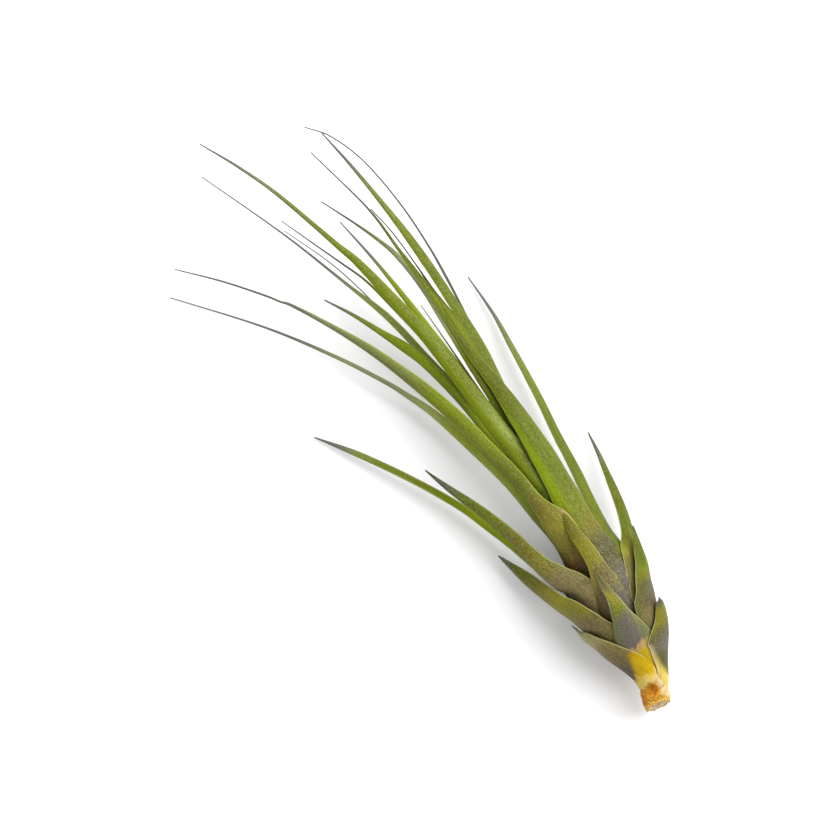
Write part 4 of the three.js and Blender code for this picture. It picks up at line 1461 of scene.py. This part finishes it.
def inner_leaves() -> list[Leaf]:
    """Give the long leaves of the bundle in the middle.

    Returns:
        The leaves, from the lowest up.
    """
    return [
        Leaf("leaf_right_front", Slot.LEAF, layer=7, keel=56, tip_keel=80,
             sheath=(Clasp(21.8, 54, 1.5, -10), Clasp(29, 50, 3.0, -17), Clasp(33, 48, 2.4, -18),
                     Clasp(37, 46, 1.8, -17), Clasp(45, 42, 0.4, -6)),
             blade=(Keel(12.9, 53, 20.0, 9.2, 6.6), Keel(13.5, 60, 20.8, 8.4, 5.7),
                    Keel(14.1, 67, 21.2, 7.6, 5.0), Keel(14.3, 73, 21.2, 6.6, 4.3),
                    Keel(14.4, 80, 20.8, 5.6, 3.6), Keel(14.3, 88, 20.0, 4.1), Keel(13.5, 99, 18.8, 2.7),
                    Keel(13.6, 108, 17.6, 2.0), Keel(13.75, 117, 16.8, 1.8), Keel(13.55, 125, 16.0, 1.3),
                    Keel(13.3, 131, 15.4, 0.9), Keel(13.2, 140, 14.4, 0.7), Keel(12.4, 146.6, 13.6, 0.5),
                    Keel(9.2, 163.2, 12.0, 0.3)),
             finish=RIGHT_FRONT, seed=17.9, strips=24, rings=220),
        Leaf("leaf_yellow", Slot.LEAF, layer=8, keel=130, tip_keel=110,
             sheath=(Clasp(24.8, 48), Clasp(33, 44), Clasp(42, 38), Clasp(51, 31)),
             blade=(Keel(6.0, 60, 19.3, 4.0), Keel(6.0, 70, 19.3, 4.6), Keel(5.1, 82, 19.0, 4.4),
                    Keel(4.1, 92, 17.8, 3.3), Keel(2.0, 104, 15.6, 2.8), Keel(0.1, 110, 14.4, 2.8),
                    Keel(-2.1, 115.5, 13.2, 1.8), Keel(-5.4, 123.5, 12.0, 1.0),
                    Keel(-9.2, 131, 10.8, 0.35)),
             finish=YELLOW, seed=18.4),
        Leaf("leaf_right_wide", Slot.LEAF, layer=8, keel=8, tip_keel=80,
             sheath=(Clasp(24.8, 48), Clasp(33, 44), Clasp(42, 38), Clasp(50, 34)),
             blade=(Keel(14.1, 60, 16.0, 4.6), Keel(14.6, 72, 16.4, 4.2), Keel(15.2, 86, 16.8, 3.9),
                    Keel(16.9, 99, 16.0, 4.1), Keel(17.35, 113, 16.6, 3.6), Keel(17.5, 122, 17.6, 3.1),
                    Keel(17.35, 131, 17.8, 2.5), Keel(16.75, 141, 18.2, 1.6),
                    Keel(15.6, 154.5, 18.4, 0.9), Keel(14.2, 165.5, 18.4, 0.35)),
             finish=RIGHT_WIDE, seed=19.8, rings=200),
        Leaf("leaf_centre", Slot.LEAF, layer=9, keel=84, tip_keel=90,
             sheath=(Clasp(27.2, 46), Clasp(37, 42), Clasp(48, 40)),
             blade=(Keel(8.9, 59, 20.3, 4.4), Keel(8.5, 71, 20.7, 5.2), Keel(7.9, 83, 20.3, 5.2),
                    Keel(7.45, 95, 20.0, 4.2), Keel(6.6, 109, 20.4, 3.6), Keel(5.0, 121, 20.8, 2.8),
                    Keel(3.0, 134, 21.2, 2.1), Keel(1.35, 140, 21.4, 1.55), Keel(-0.15, 146, 21.6, 1.3),
                    Keel(-4.0, 160.3, 21.8, 1.0), Keel(-8.0, 171, 21.8, 0.7),
                    Keel(-12.3, 180.5, 21.8, 0.3)),
             finish=CENTRE, seed=20.2, rings=220, strips=22),
        Leaf("leaf_grey_green", Slot.LEAF, layer=9, keel=196, tip_keel=240,
             sheath=(Clasp(27.2, 42), Clasp(36, 40), Clasp(46, 37), Clasp(55, 32)),
             blade=(Keel(5.5, 66, 13.2, 3.0), Keel(5.8, 78, 12.8, 2.8), Keel(4.9, 92, 12.0, 2.6),
                    Keel(2.95, 105, 11.0, 2.8), Keel(0.9, 118.5, 9.6, 2.5), Keel(-2.2, 130, 7.8, 1.2),
                    Keel(-8.0, 149.8, 4.4, 0.6), Keel(-16.7, 174, 0.9, 0.3)),
             finish=GREY_GREEN_SKIN, seed=21.7, rings=200),
        Leaf("leaf_arched", Slot.LEAF, layer=9, keel=-38, tip_keel=-60,
             sheath=(Clasp(27.2, 42), Clasp(36, 40), Clasp(46, 36), Clasp(55, 32)),
             blade=(Keel(13.0, 68, 11.5, 2.1), Keel(14.2, 81, 11.5, 2.0), Keel(15.8, 95, 12.2, 1.6),
                    Keel(18.0, 109, 13.2, 1.0), Keel(19.1, 117.5, 13.8, 0.95), Keel(20.0, 127, 14.4, 0.7),
                    Keel(20.2, 140, 15.4, 0.55), Keel(18.75, 154, 16.2, 0.45),
                    Keel(15.5, 163.7, 16.6, 0.4), Keel(11.5, 169.2, 16.8, 0.3)),
             finish=THREAD, seed=22.3, rings=200),
        Leaf("leaf_gap_right", Slot.LEAF, layer=10, keel=60, tip_keel=90,
             sheath=(Clasp(30, 42), Clasp(40, 36), Clasp(52, 27)),
             blade=(Keel(10.8, 66, 15.5, 2.4), Keel(11.1, 80, 18.2, 2.6), Keel(12.0, 95, 18.4, 2.9),
                    Keel(12.6, 109, 16.4, 2.3), Keel(12.9, 121, 13.8, 1.7), Keel(12.05, 130, 11.8, 1.4),
                    Keel(10.7, 135, 10.4, 0.95), Keel(8.1, 142.3, 8.4, 0.6), Keel(4.3, 151.7, 5.6, 0.3)),
             finish=GAP, seed=23.1),
        Leaf("leaf_behind_centre", Slot.LEAF, layer=10, keel=156, tip_keel=120,
             sheath=(Clasp(30, 42), Clasp(40, 40), Clasp(52, 34)),
             blade=(Keel(6.9, 66, 15.0, 2.2), Keel(7.2, 80, 14.4, 2.0), Keel(6.6, 94, 14.4, 1.9),
                    Keel(5.4, 107, 14.8, 1.6), Keel(3.5, 120, 15.6, 1.1), Keel(1.9, 129, 15.8, 0.8),
                    Keel(-0.6, 136.3, 15.7, 0.6), Keel(-3.6, 144.6, 15.3, 0.45),
                    Keel(-6.7, 153.3, 14.8, 0.3)),
             finish=HEART, seed=24.9),
        Leaf("leaf_thin_right", Slot.LEAF, layer=10, keel=28, tip_keel=110,
             sheath=(Clasp(30, 42), Clasp(40, 36), Clasp(52, 25)),
             blade=(Keel(12.2, 66, 14.0, 2.0), Keel(12.9, 80, 13.9, 2.0), Keel(14.2, 95, 17.2, 2.4),
                    Keel(14.6, 109, 17.6, 2.1), Keel(14.5, 117, 16.2, 0.9), Keel(14.65, 125, 14.0, 0.4),
                    Keel(14.4, 135, 12.4, 0.35), Keel(13.4, 143, 11.2, 0.3)),
             finish=THIN_RIGHT, seed=25.2),
        Leaf("leaf_heart_upper", Slot.LEAF, layer=11, keel=78, tip_keel=90,
             sheath=(Clasp(33.6, 42), Clasp(42, 38), Clasp(52, 32)),
             blade=(Keel(9.5, 66, 15.5, 2.0), Keel(9.3, 80, 15.8, 1.9), Keel(8.9, 94, 16.4, 1.9),
                    Keel(8.1, 109, 17.0, 1.8), Keel(7.6, 120, 17.2, 1.4), Keel(6.8, 131.5, 17.4, 0.8),
                    Keel(5.2, 144.7, 17.2, 0.3)),
             finish=HEART, seed=26.6),
        Leaf("leaf_heart_left", Slot.LEAF, layer=11, keel=198, tip_keel=230,
             sheath=(Clasp(33.6, 42), Clasp(42, 40), Clasp(52, 36)),
             blade=(Keel(8.1, 66, 12.6, 1.6), Keel(7.6, 80, 10.6, 1.4), Keel(5.6, 94, 9.0, 1.1),
                    Keel(3.6, 106, 8.0, 0.8), Keel(1.3, 119, 7.2, 0.5), Keel(-2.2, 136, 5.8, 0.45),
                    Keel(-7.5, 151, 4.6, 0.3)),
             finish=THREAD, seed=27.4),
        Leaf("leaf_heart_dark", Slot.LEAF, layer=11, keel=318, tip_keel=330,
             sheath=(Clasp(33.6, 42), Clasp(42, 40), Clasp(52, 36)),
             blade=(Keel(9.9, 66, 13.4, 1.6), Keel(9.9, 80, 13.6, 1.3), Keel(9.8, 93, 13.8, 0.9),
                    Keel(9.9, 104, 13.8, 0.6), Keel(9.9, 116, 13.8, 0.3)),
             finish=HEART_DARK, seed=28.8),
    ]


# Grains of the stub's rind, and what they show.
RIND_PATCHES = Grain((0.7, 0.5, 0.7), 3.0, 0.6)
FLECKS = Grain((1.5, 1.1, 1.5), 4.0, 0.65)
FIBRES = Grain((4.0, 1.2, 4.0), 3.0, 0.7)
FLECK_DARK = Wash(0.46, 0.36, 0.7, Hue.RUST)
FLECK_LIGHT = Wash(0.54, 0.64, 0.6, Hue.CREAM)
FIBRE_DARK = Wash(0.42, 0.3, 0.5, Hue.RUST)


@dataclass(frozen=True)
class StubFinish:
    """Skin of the stub: orange rind, a rust hollow, a cream right side that is partly painted highlight, and
    a pale fibrous cut.

    Each range gives where a colour starts to show and where it shows fully. Heights run from 0 at
    the cut to 1, and places across the stub are in plant millimetres.

    Attributes:
        stray_across: how far the colours stray across the stub.
        stray_up: how far they stray in height.
        sienna_orange: values of the patches from sienna to orange.
        amber_height: height of the amber foot.
        amber_across: place across the stub of the amber foot.
        amber_strength: how far it turns.
        cream_highlight_across: place across the stub of the cream side, which is partly painted highlight on
            the side facing the light.
        pale_height: height above which all of the stub is cream.
        pale_start: height at which the cream starts.
        hollow_strength: how far the hollow turns rust.
        fibre_light: values of the fibres that show as cream streaks.
        fibre_share: how far they turn outside the hollow.
        lip_height: height of the cream lip at the cut.
        lip_fibres: values of the fibres that show in the lip.
        lip_strength: how far it turns.
        pith: values of the flecks from dark to pale pith.
        rim: share of the cut's radius at which the rind turns to pith.
        rough: roughness.
        bump: how much of the fibres shows.
        bump_depth: depth of the fibres, in metres.
    """

    stray_across: float = 3.0
    stray_up: float = 0.4
    sienna_orange: Range = (0.42, 0.6)
    amber_height: Range = (0.34, 0.2)
    amber_across: Range = (-1.2, 0.8)
    amber_strength: float = 0.85
    cream_highlight_across: Range = (3.4, 4.6)
    pale_height: Range = (0.66, 0.76)
    pale_start: Range = (0.03, 0.12)
    hollow_strength: float = 0.95
    fibre_light: Range = (0.5, 0.66)
    fibre_share: float = 0.6
    lip_height: Range = (0.13, 0.05)
    lip_fibres: Range = (0.4, 0.52)
    lip_strength: float = 0.8
    pith: Range = (0.36, 0.48)
    rim: Range = (0.92, 0.8)
    rough: float = 0.6
    bump: float = 0.6
    bump_depth: float = 0.3 * MM

    def material(self) -> bpy.types.Material:
        """Build the stub's material.

        Returns:
            The material.
        """
        nodes = Nodes(bpy.data.materials.new("stub_rind"))
        height, core, hollow = nodes.split(nodes.stored("place"))
        skin = nodes.stored("skin")
        patches, flecks, fibres = (nodes.noise(skin, grain) for grain in (RIND_PATCHES, FLECKS, FIBRES))
        stray = nodes.math("SUBTRACT", patches, 0.5)
        sideways = nodes.math("ADD", nodes.split(skin)[0], nodes.times(stray, self.stray_across))
        upward = nodes.math("ADD", height, nodes.times(stray, self.stray_up))
        rind = nodes.mix(nodes.fade(patches, *self.sienna_orange), Hue.SIENNA, Hue.ORANGE)
        low = nodes.times(nodes.fade(upward, *self.amber_height), nodes.fade(sideways, *self.amber_across))
        rind = nodes.tint(rind, low, self.amber_strength, Hue.AMBER)
        # The right side, which faces the light, turns cream: partly the stub's own cream and partly painted
        # highlight.
        side, top = nodes.fade(sideways, *self.cream_highlight_across), nodes.fade(upward, *self.pale_height)
        pale = nodes.times(nodes.math("MAXIMUM", side, top), nodes.fade(height, *self.pale_start))
        rind = nodes.mix(pale, rind, Hue.CREAM_PALE)
        rind = nodes.wash(nodes.wash(rind, flecks, FLECK_DARK), flecks, FLECK_LIGHT)
        rind = nodes.mix(nodes.times(hollow, self.hollow_strength, clamp=True), rind, Hue.RUST)
        beside = nodes.math("SUBTRACT", self.fibre_share, hollow)
        streaks = nodes.times(nodes.fade(fibres, *self.fibre_light), beside)
        rind = nodes.mix(nodes.math("MAXIMUM", streaks, 0.0), rind, Hue.CREAM)
        rind = nodes.wash(rind, fibres, FIBRE_DARK)
        lip = nodes.times(nodes.fade(upward, *self.lip_height), nodes.fade(fibres, *self.lip_fibres))
        rind = nodes.tint(rind, lip, self.lip_strength, Hue.CREAM)
        pith = nodes.mix(nodes.fade(flecks, *self.pith), Hue.BARK, Hue.FIBRE)
        colour = nodes.mix(nodes.fade(core, *self.rim), rind, pith)
        return nodes.surface(colour, self.rough, nodes.bump(fibres, self.bump, self.bump_depth))


@dataclass
class Stub:
    """The stem: the cut stub that shows and the part hidden in the sheaths.

    Attributes:
        cut: place of the middle of the cut along the plant.
        slant: how far the cut leans back towards its top, in millimetres.
        skew: how far the cut leans from left to right, in millimetres.
        slant_reach: length over which the lean of the cut dies away.
        radii: radius of the stem by place along the plant.
        cup: how deep the middle of the cut is sunk.
        cut_shares: radii of the rings of the cut, as shares of its own.
        innermost: the share that the ring at its middle is given.
        cut_tears: ripples of the ragged cut round the stem, shifted by the ring's share.
        tear_limit: share at which those ripples would end.
        rim: ripples of the torn rim round the stem.
        rim_reach: length over which they die away.
        knobs: the wave round the stem, and the one along it, that make the knobs of the rind.
        grooves: finer ripples of the rind round the stem, shifted by the place along it.
        knob_end: place along the plant where the knobs start to die away.
        knob_fade: length over which they do.
        hollow: middle of the rust hollow on the upper side.
        hollow_size: how wide the hollow is, from its middle.
        hollow_depth: how deep it is.
        height_reach: length of the stub over which the rind's height runs from 0 to 1.
        steps: rings along the stem.
        sides: corners in a ring.
    """

    cut: float = -0.1
    slant: float = 0.8
    skew: float = 0.68
    slant_reach: float = 5.0
    radii: tuple[tuple[float, float], ...] = (
        (-0.1, 3.2), (0.8, 3.5), (1.6, 3.62), (2.8, 3.72), (4.3, 3.95), (5.6, 3.95), (7, 3.7), (10, 3.4),
        (13, 3.0), (20, 2.1), (28, 1.5), (33, 0.7),
    )
    cup: float = 0.5
    cut_shares: tuple[float, ...] = (0.0, 0.2, 0.4, 0.6, 0.74, 0.86, 0.94)
    innermost: float = 0.02
    cut_tears: tuple[Wave, ...] = (Wave(0.16, 5, 9), Wave(0.12, 13, 4))
    tear_limit: float = 1.1
    rim: tuple[Wave, ...] = (Wave(0.1, 7), Wave(0.07, 17, 1))
    rim_reach: float = 1.2
    knobs: tuple[Wave, Wave] = (Wave(0.14, 3, 1.3), Wave(1.0, 1.7))
    grooves: tuple[Wave, ...] = (Wave(0.06, 11, 2.1),)
    knob_end: float = 5.0
    knob_fade: float = 3.0
    hollow: tuple[float, float] = (2.1, 4.2)
    hollow_size: float = 1.5
    hollow_depth: float = 0.85
    height_reach: float = 8.0
    steps: int = 190
    sides: int = 120

    def __post_init__(self) -> None:
        """Work out the direction of each corner of a ring, and the torn rim there."""
        self.turns = np.linspace(0, 2 * math.pi, self.sides, endpoint=False)
        self.torn = ripple(self.rim, self.turns, 1.0)

    def ring(self, ys: object, radius: object) -> np.ndarray:
        """One ring of corners round the axis.

        Args:
            ys: place along the plant of the ring, or of each corner.
            radius: radius of the ring, or at each corner.

        Returns:
            The corners in plant millimetres.
        """
        ys = np.broadcast_to(ys, self.turns.shape)
        x, z = (smooth(AXIS[:, 0], AXIS[:, c], ys) for c in (1, 2))
        aside, rise = radius * np.cos(self.turns), radius * np.sin(self.turns)
        lean = (self.slant * rise - self.skew * aside) / self.radii[0][1]
        lean = lean * np.clip(1 - (ys - self.cut) / self.slant_reach, 0, 1)
        return np.stack([x + aside, ys + lean, z + rise], axis=1)

    def marks(self, *values: object) -> np.ndarray:
        """Height, place in the cut and hollow at each corner of a ring."""
        return np.stack([np.broadcast_to(value, self.turns.shape) for value in values], axis=1)

    def cut_ring(self, share: float) -> tuple[np.ndarray, np.ndarray]:
        """One ring of the sunken ragged cut.

        Args:
            share: radius of the ring as a share of the cut's own.

        Returns:
            The corners in plant millimetres, and their marks.
        """
        sunk = self.cup * (1 - share ** 2)
        ragged = ripple(self.cut_tears, self.turns, share) * (self.tear_limit - share)
        ys = self.cut + sunk + ragged + self.torn * share
        return self.ring(ys, max(share, self.innermost) * self.radii[0][1]), self.marks(0.0, share, 0.0)

    def rind_ring(self, y: float) -> tuple[np.ndarray, np.ndarray]:
        """One ring of the knobbed rind.

        Args:
            y: place of the ring along the plant.

        Returns:
            The corners in plant millimetres, and their marks.
        """
        table = np.array(self.radii)
        radius = smooth(table[:, 0], table[:, 1], np.array([y]))[0]
        round_wave, long_wave = self.knobs
        knobs = ripple((round_wave,), self.turns, y) * ripple((long_wave,), y)
        knobs = knobs + ripple(self.grooves, self.turns, y)
        radius = radius + knobs * min(max(1 - (y - self.knob_end) / self.knob_fade, 0.0), 1.0)
        plain = self.ring(y, radius)
        near = (plain[:, 0] - self.hollow[0]) ** 2 + (plain[:, 1] - self.hollow[1]) ** 2
        dent = np.exp(-near / self.hollow_size ** 2) * (np.sin(self.turns) > 0)
        ys = y + self.torn * max(1 - (y - self.cut) / self.rim_reach, 0.0)
        height = min((y - self.cut) / self.height_reach, 1.0)
        return self.ring(ys, radius - self.hollow_depth * dent), self.marks(height, 1.0, dent)

    def build(self) -> bpy.types.Object:
        """Turn the stem round its curved axis, with a sunken ragged cut.

        Returns:
            The stem as one closed mesh.
        """
        rings = [self.cut_ring(share) for share in self.cut_shares]
        rings += [self.rind_ring(y) for y in np.linspace(self.cut, self.radii[-1][0], self.steps)]
        points = np.concatenate([corners for corners, _ in rings])
        ends = [tuple(range(self.sides)), tuple(reversed(range(len(points) - self.sides, len(points))))]
        faces = ends[:1] + tube_faces(len(rings), self.sides, flip=True) + ends[1:]
        piece = mesh_object("stem_skin", place(points), faces)
        store(piece, "place", np.concatenate([marks for _, marks in rings]))
        store(piece, "skin", points)
        return piece

    def dress(self, piece: bpy.types.Object) -> None:
        """Give the stem its rind and its place in the frame.

        Args:
            piece: the stem's mesh.
        """
        piece.data.materials.append(StubFinish().material())
        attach(piece, ROOT_BODY)
        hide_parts("stem")


@dataclass(frozen=True)
class FloorFinish:
    """Finish of the plain white surface.

    Attributes:
        white: its colour as linear light.
        grey: the colour that its grain turns to.
        grain: the grain, read in metres.
        grain_share: how far it turns.
        rough: roughness.
    """

    white: Colour = (0.9, 0.9, 0.9, 1.0)
    grey: Colour = (0.86, 0.86, 0.86, 1.0)
    grain: Grain = Grain((90.0, 90.0, 90.0), 3.0)
    grain_share: float = 0.02
    rough: float = 0.85

    def material(self) -> bpy.types.Material:
        """Build the surface's material.

        Returns:
            The material.
        """
        nodes = Nodes(bpy.data.materials.new("white_surface"))
        grain = nodes.noise(nodes.add("ShaderNodeTexCoord").outputs["Object"], self.grain)
        return nodes.surface(nodes.tint(self.white, grain, self.grain_share, self.grey), self.rough)


@dataclass
class Studio:
    """Plain white surface, soft light from one side, and a camera that looks straight down.

    Attributes:
        view_centre: middle of the view in plant millimetres.
        roll: turn of the plant in the view, in degrees.
        field_width: width of the view at the focus, in metres.
        focus: height at which the view is field_width wide.
        lens: focal length in millimetres.
        sensor: sensor width in millimetres.
        clip: nearest and farthest distance that the camera sees, in metres.
        sky: strength of the pale sky.
        sky_colour: its colour as linear light.
        key: power of the key light.
        key_size: its diameter in metres.
        key_place: where it hangs, in metres.
        key_aim: the point that it faces.
        floor_half: half the width of the surface, in metres.
        floor_finish: finish of the surface.
    """

    view_centre: tuple[float, float] = (-6.8, 92.7)
    roll: float = 35.0
    field_width: float = 0.210
    focus: float = 0.012
    lens: float = 600.0
    sensor: float = 36.0
    clip: Range = (0.5, 20.0)
    sky: float = 0.785
    sky_colour: Colour = (0.98, 0.98, 1.0, 1.0)
    key: float = 13.8
    key_size: float = 1.05
    key_place: tuple[float, float, float] = (0.65, 0.05, 0.7)
    key_aim: tuple[float, float, float] = (0.0, -0.02, 0.0)
    floor_half: float = 1.5
    floor_finish: FloorFinish = FloorFinish()

    def floor(self) -> None:
        """Lay the white surface."""
        corners = np.array([(-1, -1, 0), (1, -1, 0), (1, 1, 0), (-1, 1, 0)]) * self.floor_half
        floor = mesh_object("surface", corners, [(0, 1, 2, 3)])
        floor.data.materials.append(self.floor_finish.material())
        log.info("built %s", floor.name)

    def light(self) -> None:
        """Make the pale sky and the large soft key light."""
        world = bpy.data.worlds.new("pale_sky")
        world.use_nodes = True
        background = world.node_tree.nodes["Background"]
        background.inputs["Color"].default_value = self.sky_colour
        background.inputs["Strength"].default_value = self.sky
        bpy.context.scene.world = world
        lamp = bpy.data.lights.new("key", "AREA")
        lamp.shape = "DISK"
        lamp.size = self.key_size
        lamp.energy = self.key
        key = bpy.data.objects.new("key", lamp)
        key.location = self.key_place
        key.rotation_mode = "QUATERNION"
        key.rotation_quaternion = (key.location - Vector(self.key_aim)).to_track_quat("Z", "Y")
        bpy.context.scene.collection.objects.link(key)

    def camera(self) -> None:
        """Point the camera straight down, turned as the plant lies in the view."""
        data = bpy.data.cameras.new("camera")
        data.lens, data.sensor_width = self.lens, self.sensor
        data.clip_start, data.clip_end = self.clip
        camera = bpy.data.objects.new("camera", data)
        x, y, _ = place(np.array([[*self.view_centre, 0.0]]))[0]
        height = self.focus + self.field_width * self.lens / self.sensor
        turn = Matrix.Rotation(math.radians(-self.roll), 4, "Z")
        camera.matrix_world = Matrix.Translation((x, y, height)) @ turn
        bpy.context.scene.collection.objects.link(camera)
        bpy.context.scene.camera = camera
        bpy.context.scene.view_settings.view_transform = "Standard"


def main() -> None:
    """Build the plant and the studio, and log the name of each piece that is built."""
    logging.basicConfig(level=logging.INFO, format="%(message)s")
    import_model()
    studio = Studio()
    studio.camera()
    for part in [Stub(), *lowest_leaves(), *middle_leaves(), *inner_leaves()]:
        piece = part.build()
        part.dress(piece)
        log.info("built %s", piece.name)
    studio.floor()
    studio.light()


if __name__ == "__main__":
    main()
